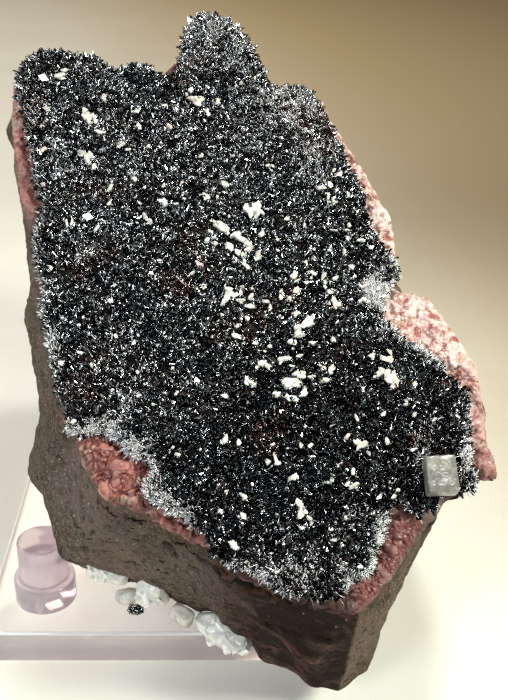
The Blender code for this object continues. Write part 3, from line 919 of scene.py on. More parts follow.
@dataclass
class MatrixRock:
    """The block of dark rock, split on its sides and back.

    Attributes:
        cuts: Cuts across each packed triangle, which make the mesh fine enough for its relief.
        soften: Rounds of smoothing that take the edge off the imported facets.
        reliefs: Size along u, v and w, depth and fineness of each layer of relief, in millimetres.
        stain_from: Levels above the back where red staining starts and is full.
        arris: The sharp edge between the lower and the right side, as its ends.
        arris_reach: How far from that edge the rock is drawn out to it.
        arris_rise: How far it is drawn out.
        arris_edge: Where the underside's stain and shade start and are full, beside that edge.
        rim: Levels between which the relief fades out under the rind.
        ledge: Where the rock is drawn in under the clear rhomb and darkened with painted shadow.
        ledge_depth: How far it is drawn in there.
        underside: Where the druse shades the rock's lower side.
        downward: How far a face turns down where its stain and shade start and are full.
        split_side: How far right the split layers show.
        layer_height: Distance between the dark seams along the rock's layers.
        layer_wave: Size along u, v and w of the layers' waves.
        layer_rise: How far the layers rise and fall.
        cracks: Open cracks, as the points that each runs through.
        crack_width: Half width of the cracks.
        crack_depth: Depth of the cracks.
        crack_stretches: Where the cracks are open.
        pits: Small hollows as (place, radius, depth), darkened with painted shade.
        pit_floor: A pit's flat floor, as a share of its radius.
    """

    cuts: int = 5
    soften: int = 2
    reliefs: tuple[tuple[Point, float, int], ...] = (
        ((7.0, 7.0, 5.0), 0.40, 2),
        ((5.0, 5.0, 1.5), 0.34, 3),
        ((1.3, 1.3, 1.1), 0.17, 3),
    )
    stain_from: tuple[float, float] = (25.0, 30.5)
    arris: tuple[Point, Point] = ((0.8, 0.4, 32.0), (0.3, -0.4, 1.0))
    arris_reach: float = 2.0
    arris_rise: float = 0.5
    arris_edge: tuple[float, float] = (0.15, -0.15)
    rim: Zone = ((W, 31.7, 31.1),)
    ledge: Zone = ((U, 10.5, 12.5), (V, 24.0, 19.0), (W, 19.0, 23.0))
    ledge_depth: float = 0.9
    underside: Zone = ((U, -24.0, -8.0),)
    downward: tuple[float, float] = (0.25, 0.6)
    split_side: Zone = ((U, -42.0, -34.0),)
    layer_height: float = 4.3
    layer_wave: Point = (9.0, 9.0, 6.0)
    layer_rise: float = 1.4
    cracks: tuple[tuple[Point, ...], ...] = (
        ((-35.7, 16.9, 22.5), (-32.3, 15.5, 24.0), (-29.1, 14.2, 26.0)),
        ((-38.8, 17.9, 11.1), (-35.4, 16.4, 13.6), (-32.8, 15.9, 13.8)),
        ((-26.9, 14.0, 7.8), (-24.4, 13.1, 7.5), (-21.8, 11.7, 8.7)),
        ((-24.3, 12.5, 24.3), (-21.7, 10.9, 22.8)),
        ((-16.0, 6.4, 16.7), (-10.5, 3.3, 19.1), (-6.3, 1.0, 22.8), (-1.4, 0.0, 23.3)),
        ((-19.1, 9.6, 26.9), (-15.7, 7.3, 28.6), (-12.5, 5.5, 28.6), (-7.4, 2.5, 30.3)),
        ((-45.6, 37.0, 12.0), (-44.4, 29.6, 9.6)),
    )
    crack_width: float = 0.5
    crack_depth: float = 0.9
    crack_stretches: Blotches = Blotches(0.9, 3.0, -0.5, 0.1)
    pits: tuple[tuple[Point, float, float], ...] = (
        ((-43.0, 27.3, 13.5), 1.8, 1.3),
        ((-23.6, 12.1, 24.4), 1.3, 1.0),
        ((-34.6, 16.0, 20.1), 0.6, 0.5),
        ((-34.2, 15.6, 11.0), 0.9, 0.7),
    )
    pit_floor: float = 0.3

    def build(self) -> Object:
        """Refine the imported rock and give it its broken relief."""
        piece = merged_copy("matrix_rock", "rock_surface")
        with edit(piece) as bm:
            pick(bm, lambda face: face.normal.dot(FACE.out) < 0.98)
            bpy.ops.mesh.subdivide(number_cuts=self.cuts)
            bpy.ops.mesh.vertices_smooth(factor=0.5, repeat=self.soften)
            bpy.ops.mesh.quads_convert_to_tris()
        self.carve(piece.data)
        smooth_below(piece, 45)
        return piece

    def carve(self, mesh: Mesh) -> None:
        """Press the relief, the cracks and the pits into the mesh, and keep what the finish reads."""
        points = points_of(mesh)
        normals = normals_of(mesh)
        place = FACE.to_face(points)
        level = place[:, 2]
        height = np.zeros(len(points))
        for number, (size, depth, octaves) in enumerate(self.reliefs):
            height += depth * rough(place, size, octaves, number * 7.3)
        edge = blend_share(self.distance(place, *self.arris), self.arris_reach, 0.0) ** 2
        # Cracks and pits, which the finish darkens with painted shade.
        crack = np.zeros(len(points))
        for start, end in (stretch for line in self.cracks for stretch in zip(line, line[1:])):
            crack = np.maximum(crack, blend_share(self.distance(place, start, end), self.crack_width, 0.0))
        crack *= self.crack_stretches.share(place)
        ledge = zone(place, self.ledge)
        height = height * (1.0 - edge) + edge * self.arris_rise
        height -= crack * self.crack_depth + ledge * self.ledge_depth
        for centre, radius, depth in self.pits:
            reach = np.linalg.norm(place - np.array(centre), axis=1)
            share = blend_share(reach, radius, radius * self.pit_floor)
            height -= share * depth
            crack = np.maximum(crack, share * 0.8)
        move_points(mesh, points + normals * (height * zone(place, self.rim) * MM)[:, None])
        past_arris = blend_share(place[:, 0] - self.arris_line(level), *self.arris_edge)
        downward = blend_share(-(normals @ FACE.turn)[:, 1], *self.downward)
        under = past_arris * downward * zone(place, self.underside)
        near_rim = blend_share(level, *self.stain_from)
        layer = level + self.layer_rise * rough(place, self.layer_wave, 2, 12.0)
        store(mesh, "stain", np.clip(near_rim * (0.35 + 0.5 * under) + under * 0.45, 0.0, 0.95))
        store(mesh, "shade", np.maximum(under * 1.1, ledge).clip(0.0, 0.93))
        # The cracks' and pits' painted shade, and the painted shadow on the ledge under the clear rhomb.
        store(mesh, "crack", np.maximum(crack, ledge * 0.9))
        store(mesh, "split", 0.15 + 0.85 * downward * zone(place, self.split_side))
        store(mesh, "layer", layer / self.layer_height)

    def arris_line(self, level: np.ndarray) -> np.ndarray:
        """How far right the sharp edge runs at each level above the back."""
        start, end = self.arris
        return np.interp(level, (end[2], start[2]), (end[0], start[0]))

    @staticmethod
    def distance(points: np.ndarray, start: Point, end: Point) -> np.ndarray:
        """Distance from each point to the straight stretch between start and end."""
        first = np.array(start)
        side = np.array(end) - first
        share = np.clip((points - first) @ side / (side @ side), 0.0, 1.0)
        return np.linalg.norm(points - first - share[:, None] * side, axis=1)

    def dress(self) -> Object:
        """Build the rock and hand it over."""
        piece = self.build()
        hand_over(piece, Slot.ROCK, RockFinish().material(), "matrix_rock")
        return piece


# Parts of the bare rind.
LOW_RIGHT: Zone = ((U, 0.5, 4.0), (V, 22.0, 13.0))
UPPER_RIGHT: Zone = ((U, -8.0, 8.0), (V, 14.0, 30.0))
HIGH_RIGHT: Zone = (*UPPER_RIGHT, (V, 34.0, 38.0))
TOP_RIGHT: Zone = ((U, -6.0, 2.0), (V, 46.0, 56.0))
DUSKY_RIGHT: Zone = ((U, 11.0, 14.0), (V, 35.0, 31.0))
SPUR: Zone = ((U, 16.6, 18.2), (V, 26.0, 22.0))
LEFT: Zone = ((U, -37.0, -42.0), (V, 46.0, 54.0))
LEFT_RIM: Zone = ((U, -35.4, -36.4), (V, 26.5, 28.5), (V, 66.0, 58.0))
BELOW: Zone = ((U, 1.8, -0.4), ((0.35, 1.0, 0.0), 4.6, 2.6), (U, -26.0, -10.0))
LOW_CORNER: Zone = ((U, 8.8, 9.8), ((-0.75, 1.0, 0.0), 6.4, 5.6), (U, 18.4, 17.4))


@dataclass
class RedRind:
    """The thin botryoidal rind, bare along the edges of the druse.

    Attributes:
        cuts: Cuts across each bare triangle, made twice.
        lumps: Spacing and rise of each size of lump, in millimetres.
        bend: How far the lumps' outlines are bent out of shape, in millimetres.
        bend_size: Distance over which they bend, in metres.
        bend_seeds: Seeds of the bend along x, y and z.
        knob: A lump's radius, as a share of the spacing.
        crease: Width of the creases between lumps, as a share of the spacing.
        deep: Where the creases go down in full.
        flat: Zones with flatter lumps, each with its strength.
        grit: Size in metres and height in millimetres of the fine grit on flat lumps.
        dust: Zones with more or less pale dust.
        aged: Zones where more of the rind turns to the darker wine-red.
        gloom: Zones in the shade.
        buried: Zones that rock covers.
        bare_points: Middles of its bare faces, once it is built.
    """

    cuts: int = 3
    lumps: tuple[tuple[float, float], ...] = ((2.5, 0.50), (1.3, 0.78), (0.62, 0.14))
    bend: float = 0.70
    bend_size: float = 0.0016
    bend_seeds: tuple[float, ...] = (1.0, 5.0, 9.0)
    knob: float = 0.72
    crease: float = 0.30
    deep: Blotches = Blotches(0.0024, 4.0, -0.65, 0.0)
    flat: Zones = ((1.0, DUSKY_RIGHT), (1.0, SPUR), (0.9, LEFT), (0.55, HIGH_RIGHT))
    grit: tuple[float, float] = (0.0007, 0.16)
    dust: Zones = (
        (0.75, UPPER_RIGHT), (0.75, TOP_RIGHT), (-0.36, DUSKY_RIGHT), (0.22, SPUR),
        (0.18, (*LEFT, (V, 72.0, 80.0))),
    )
    aged: Zones = ((0.8, LOW_RIGHT), (0.3, DUSKY_RIGHT), (0.35, (*LEFT, (V, 78.0, 70.0))))
    gloom: Zones = ((0.85, BELOW), (1.0, (*LOW_CORNER, (U, 11.0, 13.0))))
    buried: Zones = ((0.96, (*LOW_CORNER, (U, 13.0, 11.0))), (0.96, LEFT_RIM))
    bare_points: np.ndarray = field(default_factory=lambda: np.empty((0, 3)))

    def build(self, rng: Random) -> Object:
        """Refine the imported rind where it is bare, and cover that with round lumps."""
        piece = merged_copy("red_rind", "rind_surface")
        crust = surface_tree(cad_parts["hematite_crust"].data)
        out = FACE.out

        def uncovered(face: bmesh.types.BMFace) -> bool:
            """Whether a face looks out and has no crust above it."""
            start = face.calc_center_median()
            facing = face.normal.dot(out) > -0.5
            return facing and crust.ray_cast(start + out * 1e-5, out, 0.006)[0] is None

        with edit(piece) as bm:
            pick(bm, uncovered)
            bpy.ops.mesh.subdivide(number_cuts=self.cuts)
            self.bare_points = np.array([face.calc_center_median() for face in bm.faces if face.select])
            bpy.ops.mesh.vertices_smooth(factor=0.5, repeat=2)
            bpy.ops.mesh.subdivide(number_cuts=self.cuts)
            bpy.ops.mesh.quads_convert_to_tris()
            chosen = np.array([vert.select for vert in bm.verts])
        self.swell(piece.data, chosen, rng)
        smooth_below(piece, 60)
        return piece

    def swell(self, mesh: Mesh, bare: np.ndarray, rng: Random) -> None:
        """Raise uneven lumps on the bare points, and keep what the finish reads.

        Args:
            mesh: The refined rind.
            bare: Which of its points are bare.
            rng: Source of the lumps' places.
        """
        points = points_of(mesh)
        place = FACE.to_face(points)
        spots = np.flatnonzero(bare)
        near_spots = points[spots]
        shifts = [rough(near_spots, self.bend_size, 2, seed) for seed in self.bend_seeds]
        bent = near_spots + MM * self.bend * np.stack(shifts, axis=1)
        flat = strongest(place, self.flat)[spots]
        deep = self.deep.share(near_spots)
        rise = np.zeros(len(spots))
        # Painted shade in the creases between the lumps.
        hollow = np.zeros(len(spots))
        for gap, height in self.lumps:
            tree = self.seeds(near_spots, gap * MM, rng)
            near, far = np.array([[found[2] / MM for found in tree.find_n(point, 2)] for point in bent]).T
            knob = np.sqrt(np.clip(1.0 - (near / (gap * self.knob)) ** 2, 0.0, 1.0))
            crease = np.minimum((far - near) / (gap * self.crease), 1.0)
            even = 1.0 - flat * min(gap * 0.45, 0.85)
            rise += height * even * (1.0 - (1.0 - knob * (0.55 + 0.45 * np.sqrt(crease))) * deep)
            shut = (1.0 - knob * (0.5 + 0.5 * crease)) * deep * even
            hollow = np.maximum(hollow, blend_share(shut, 0.10, 0.48) * min(height * 1.7, 1.0))
        grit_size, grit_height = self.grit
        lift = rise - sum(height for _, height in self.lumps) * (0.45 - 0.25 * flat)
        lift += grit_height * flat * rough(near_spots, grit_size, 2, 2.0)
        points[spots] += normals_of(mesh)[spots] * (lift * MM)[:, None]
        move_points(mesh, points)
        kept = np.zeros(len(points))
        # The painted crease shade is weaker on the upper right.
        kept[spots] = hollow * (1.0 - 0.72 * zone(place, UPPER_RIGHT)[spots])
        store(mesh, "hollow", kept)
        store(mesh, "dust", np.clip(0.12 + summed(place, self.dust), 0.0, 1.0))
        store(mesh, "aged", 0.2 + summed(place, self.aged))
        store(mesh, "gloom", strongest(place, self.gloom))
        store(mesh, "buried", strongest(place, self.buried))

    @staticmethod
    def seeds(points: np.ndarray, gap: float, rng: Random) -> KDTree:
        """Choose random points that keep about the same distance from each other.

        Args:
            points: The points to choose from.
            gap: That distance, in metres.
            rng: Source of the choice.

        Returns:
            Search tree of the chosen points.
        """
        chosen: list[np.ndarray] = []
        taken: set[tuple[int, ...]] = set()
        for point in points[rng.permutation(len(points))]:
            cell = tuple(np.floor(point / (gap * 0.62)).astype(int))
            if cell not in taken and rng.random() < 0.8:
                chosen.append(point)
            taken.add(cell)
        return point_tree(chosen)

    def dress(self, rng: Random) -> Object:
        """Build the rind and hand it over."""
        piece = self.build(rng)
        hand_over(piece, Slot.RIND, RindFinish().material(), "red_rind")
        return piece


@dataclass
class Spots:
    """Random places on a surface.

    Attributes:
        points: The places, as rows.
        normals: The outward direction at each.
    """

    points: np.ndarray
    normals: np.ndarray

    @classmethod
    def over(cls, mesh: Mesh, count: int, rng: Random, wanted: np.ndarray) -> "Spots":
        """Scatter places evenly over the wanted triangles of a mesh.

        Args:
            mesh: A triangulated mesh.
            count: How many places.
            rng: Source of the places.
            wanted: Weight of each triangle, 0 to leave it out.

        Returns:
            The places.
        """
        points = points_of(mesh)
        normals = normals_of(mesh)
        corners = np.empty(len(mesh.polygons) * 3, np.int32)
        mesh.polygons.foreach_get("vertices", corners)
        corners = corners.reshape(-1, 3)
        first, second, third = (points[corners[:, k]] for k in range(3))
        area = np.linalg.norm(np.cross(second - first, third - first), axis=1) * wanted
        chosen = rng.choice(len(corners), count, p=area / area.sum())
        root = np.sqrt(rng.random(count))
        along = rng.random(count)
        share = np.stack([1 - root, root * (1 - along), root * along], axis=1)
        place = np.einsum("nk,nkj->nj", share, points[corners[chosen]])
        facing = np.einsum("nk,nkj->nj", share, normals[corners[chosen]])
        return cls(place, unit(facing))

    def __len__(self) -> int:
        """How many places there are."""
        return len(self.points)

    def where(self, wanted: np.ndarray) -> "Spots":
        """The places that the test accepts."""
        return Spots(self.points[wanted], self.normals[wanted])


def unit(rows: np.ndarray) -> np.ndarray:
    """Rows made one long."""
    return rows / np.maximum(np.linalg.norm(rows, axis=1, keepdims=True), 1e-12)


def standing(spots: Spots, spread: float, rng: Random, lean: np.ndarray | float = 0.0) -> np.ndarray:
    """Find directions for plates that stand on a surface, each turned at random about its growth.

    Args:
        spots: Where the plates stand.
        spread: How far their growth leans from the surface's own direction.
        rng: Source of the turns and leans.
        lean: Directions that they lean towards, as rows.

    Returns:
        For each plate its width, growth and thickness directions, as rows.
    """
    count = len(spots)
    grow = unit(spots.normals + lean + rng.normal(0.0, spread, (count, 3)))
    flat = unit(np.cross(grow, unit(rng.normal(size=(count, 3)))))
    return np.stack([np.cross(flat, grow), grow, flat], axis=1)


@dataclass
class HematiteDruse:
    """The crust of black blades that covers the specimen's face.

    Attributes:
        blade_count: Black blades in all.
        blades_per_piece: Most blades in one joined mesh.
        crisp: The joined meshes whose blades have flat faces and no worn rims.
        blade_length: Median length of a blade, in millimetres.
        length_spread: How much the lengths vary.
        thickness: A blade's thickness as a share of its length.
        lean: How far the blades lean from the surface's own direction.
        shine: How dull the blades are, and how much that varies from patch to patch.
        shine_size: How far across those patches are, in metres.
        frost_count: Fine pale crystals in all.
        frost_reach: How far the pale crystals spread in from the bare rind.
        frost_patches: Patches in which the pale crystals crowd together.
        fringes: Where the pale fringe along the rind is thick.
        frost_zones: Other pale patches.
        shine_zones: Where the blades are duller or brighter.
        mirrors: Large bright plates as (u, v, length).
        mirror_shape: Width and thickness of those plates, as shares of their length.
        mirror_lift: How far they stand off the ground, in millimetres.
        mirror_roughness: How dull they are.
        ground_relief: Size and height of the ground's relief, in metres.
        ground_base: Levels above the back between which that starts.
    """

    blade_count: int = 47000
    blades_per_piece: int = 15000
    crisp: tuple[int, ...] = (2,)
    blade_length: float = 0.90
    length_spread: float = 0.35
    thickness: float = 0.11
    lean: float = 0.42
    shine: tuple[float, float] = (2.95, 2.4)
    shine_size: float = 0.0022
    frost_count: int = 10500
    frost_reach: float = 3.4
    frost_patches: Blotches = Blotches(0.0019, 3.1, -0.40, 0.35)
    fringes: tuple[Round, ...] = (
        (-31.0, 22.0, 11.0, 1.0), (-24.0, 15.0, 7.0, 1.0), (-11.0, 3.5, 7.0, 0.8),
        (3.0, 7.0, 7.0, 0.9), (8.0, 48.0, 6.0, 1.0), (16.0, 20.0, 9.0, 0.42),
        (11.0, 38.0, 7.0, 0.6), (-43.0, 50.0, 9.0, 0.3), (-41.0, 36.0, 6.0, 0.3),
    )
    frost_zones: tuple[Round, ...] = (
        (6.0, 46.5, 3.4, 0.9), (-29.0, 27.0, 3.5, 0.05), (-14.0, 92.0, 5.0, 0.06),
        (-19.0, 98.0, 6.0, 0.06), (-7.0, 80.0, 7.0, 0.06), (-2.0, 70.0, 6.0, 0.04),
        (-8.0, 5.0, 6.0, 0.08),
    )
    shine_zones: tuple[Round, ...] = (
        (-19.0, 97.0, 12.0, -2.3), (-7.0, 80.0, 14.0, -1.2), (-28.0, 72.0, 22.0, -0.7),
        (-4.0, 18.0, 27.0, 4.0), (10.0, 28.0, 14.0, 0.6),
    )
    mirrors: tuple[tuple[float, ...], ...] = ((-45.5, 86.6, 2.0), (-36.3, 58.6, 1.9), (-19.6, 30.7, 1.4))
    mirror_shape: tuple[float, float] = (0.72, 0.1)
    mirror_lift: float = 1.0
    mirror_roughness: float = 0.3
    ground_relief: tuple[float, float] = (0.0011, 0.00018)
    ground_base: Zone = ((W, 34.0, 35.0),)

    def ground(self) -> Object:
        """The dark crust that the blades grow from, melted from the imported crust."""
        piece = merged_copy("hematite_crust", "crust_ground")
        with edit(piece) as bm:
            pick(bm, lambda face: face.normal.dot(-FACE.out) < 0.9)
            bpy.ops.mesh.subdivide(number_cuts=2)
            bpy.ops.mesh.vertices_smooth(factor=0.5, repeat=9)
            bpy.ops.mesh.select_all(action="SELECT")
            bpy.ops.mesh.quads_convert_to_tris()
        mesh = piece.data
        points = points_of(mesh)
        size, rise = self.ground_relief
        lift = rough(points, size, 2) * rise * zone(FACE.to_face(points), self.ground_base)
        move_points(mesh, points + normals_of(mesh) * lift[:, None])
        return piece

    def blade(self) -> Pattern:
        """One lozenge plate with slanted rims, one unit across."""
        bpy.ops.mesh.primitive_cylinder_add(vertices=4, radius=0.5, depth=1.0, end_fill_type="NGON")
        piece = named("blade_pattern")
        with edit(piece) as bm:
            pick(bm, lambda face: face.normal.z > 0.9)
            bpy.ops.transform.resize(value=(0.74, 0.86, 1.0))
        return Pattern.taken_from(piece)

    def needle(self) -> Pattern:
        """One fine pointed crystal, one unit long."""
        turned = (math.pi / 2, 0.0, 0.0)
        bpy.ops.mesh.primitive_cylinder_add(vertices=4, radius=0.5, depth=1.0, rotation=turned)
        piece = named("needle_pattern")
        settle(piece)
        with edit(piece) as bm:
            pick(bm, lambda face: face.normal.y > 0.9)
            bpy.ops.transform.resize(value=(0.35, 1.0, 0.35))
        return Pattern.taken_from(piece)

    @staticmethod
    def from_rind(points: np.ndarray, bare: np.ndarray) -> tuple[np.ndarray, np.ndarray]:
        """How far each point is from the bare rind, in millimetres, and the direction away from it."""
        tree = point_tree(bare)
        nearest = np.array([tree.find(point)[0] for point in points])
        return np.linalg.norm(points - nearest, axis=1) / MM, unit(points - nearest)

    def frost_share(self, points: np.ndarray, away: np.ndarray) -> np.ndarray:
        """How much of the druse is pale at each point.

        Args:
            points: Places on the druse.
            away: Their distances from the bare rind.

        Returns:
            Shares from 0 to 1.
        """
        place = FACE.to_face(points)[:, :2]
        fringe, other = (
            np.max([share * around(place, *spot, core) for *spot, share in zones], axis=0)
            for zones, core in ((self.fringes, 0.6), (self.frost_zones, 0.35))
        )
        share = np.maximum(0.06, fringe) * blend_share(away, self.frost_reach, 0.6) ** 1.2
        patches = self.frost_patches.share(points)
        return np.maximum(share * (0.35 + 0.65 * patches), other * patches).clip(0.0, 1.0)

    def dress(self, bare: np.ndarray, rng: Random) -> Object:
        """Build the ground, the black blades and the pale crystals, and hand them over.

        Args:
            bare: Points of the bare rind, which the pale crystals edge.
            rng: Source of every place, lean and length.

        Returns:
            The ground, which carries the calcite.
        """
        ground = self.ground()
        outward = np.array([face.normal @ FACE.out for face in ground.data.polygons]) > -0.3
        spots = Spots.over(ground.data, self.blade_count, rng, outward * 1.0)
        away, _ = self.from_rind(spots.points, bare)
        pale = self.frost_share(spots.points, away)
        self.add_blades(spots.where(rng.random(len(spots)) > pale * 0.5), rng)
        middles = np.array([face.center for face in ground.data.polygons])
        away, _ = self.from_rind(middles, bare)
        fine = Spots.over(ground.data, self.frost_count, rng, outward * self.frost_share(middles, away))
        away, direction = self.from_rind(fine.points, bare)
        self.add_frost(fine, direction * (blend_share(away, self.frost_reach, 0.5) * 1.3)[:, None], rng)
        self.add_mirrors(ground, rng)
        hand_over(ground, Slot.HEMATITE, GroundFinish().material(), "hematite_crust")
        return ground

    def add_blades(self, spots: Spots, rng: Random) -> None:
        """Stand the black blades on their places, in a few joined meshes."""
        count = len(spots)
        length = self.blade_length * np.exp(rng.normal(0.0, self.length_spread, count)).clip(0.5, 2.1) * MM
        axes = standing(spots, self.lean, rng)
        sides = np.stack([length * rng.uniform(0.35, 0.9, count), length, length * self.thickness], axis=1)
        centres = spots.points + axes[:, 1] * (length * rng.uniform(0.05, 0.42, count))[:, None]
        place = FACE.to_face(spots.points)[:, :2]
        middle, spread = self.shine
        shine = middle - spread * rough(spots.points, self.shine_size, 2, 9.0)
        for *spot, change in self.shine_zones:
            shine += change * around(place, *spot, 0.3)
        tone = 0.95 * rng.random(count) ** shine.clip(0.7, 7.5)
        pattern = self.blade()
        material = HematiteFinish().material()
        scaled = axes * sides[:, :, None]
        for number, start in enumerate(range(0, count, self.blades_per_piece), start=1):
            part = slice(start, start + self.blades_per_piece)
            name = f"hematite_blades_{number}"
            piece = pattern.repeated(name, centres[part], scaled[part], {"tone": tone[part]})
            if number in self.crisp:
                piece.data.shade_flat()
            hand_over(piece, Slot.HEMATITE, material)

    def add_mirrors(self, ground: Object, rng: Random) -> None:
        """Lay the few large bright plates on the druse, turned so that they glint."""
        surface = surface_tree(ground.data)
        width, thickness = self.mirror_shape
        centres, axes = [], []
        for u, v, length in self.mirrors:
            hit, _ = met(surface, u, v)
            both_ways = unit(np.array([FRONT_LAMP, Studio.camera_place]) - np.array(hit))
            facing = unit(both_ways.sum(axis=0)[None])[0]
            along = unit(np.cross(facing, rng.normal(size=3))[None])[0]
            centres.append(np.array(hit) + FACE.turn[:, 2] * self.mirror_lift * MM)
            sides = np.array([[width], [1.0], [thickness]]) * length * MM
            axes.append(np.stack([np.cross(along, facing), along, facing]) * sides)
        tone = {"tone": np.ones(len(axes))}
        plates = self.blade().repeated("hematite_plates", np.array(centres), np.array(axes), tone)
        plates.data.shade_flat()
        hand_over(plates, Slot.HEMATITE, HematiteFinish(roughness=self.mirror_roughness).material())

    def add_frost(self, spots: Spots, lean: np.ndarray, rng: Random) -> None:
        """Stand the fine pale crystals on their places, leaning away from the rind."""
        count = len(spots)
        length = rng.uniform(0.4, 1.1, count) * (1.0 + 0.35 * np.linalg.norm(lean, axis=1)) * MM
        axes = standing(spots, 0.4, rng, lean)
        width = rng.uniform(0.12, 0.24, count) * MM
        sides = np.stack([width, length, width], axis=1)
        centres = spots.points + axes[:, 1] * (length * rng.uniform(0.25, 0.6, count))[:, None]
        tone = rng.random(count) ** 0.7
        piece = self.needle().repeated("frost_crystals", centres, axes * sides[:, :, None], {"tone": tone})
        hand_over(piece, Slot.HEMATITE, FrostFinish().material())


@dataclass
class Crystals:
    """Crystals of each habit, gathered before they are joined into pieces."""

    centres: dict[Habit, list[np.ndarray]] = field(default_factory=lambda: {habit: [] for habit in Habit})
    axes: dict[Habit, list[np.ndarray]] = field(default_factory=lambda: {habit: [] for habit in Habit})

    def add(self, habit: Habit, centre: np.ndarray, axes: np.ndarray) -> None:
        """Gather one crystal."""
        self.centres[habit].append(centre)
        self.axes[habit].append(axes)

    def joined(self, name: str, patterns: dict[Habit, Pattern]) -> Object:
        """Join everything gathered into one piece.

        Args:
            name: The piece's name.
            patterns: The modelled crystal of each habit.

        Returns:
            The piece.
        """
        made = [
            patterns[habit].repeated(f"{name}_{habit.value}", np.array(centres), np.array(self.axes[habit]))
            for habit, centres in self.centres.items()
            if centres
        ]
        only(made[0])
        for piece in made:
            piece.data.shade_flat()
            piece.select_set(True)
        bpy.ops.object.join()
        return named(name)


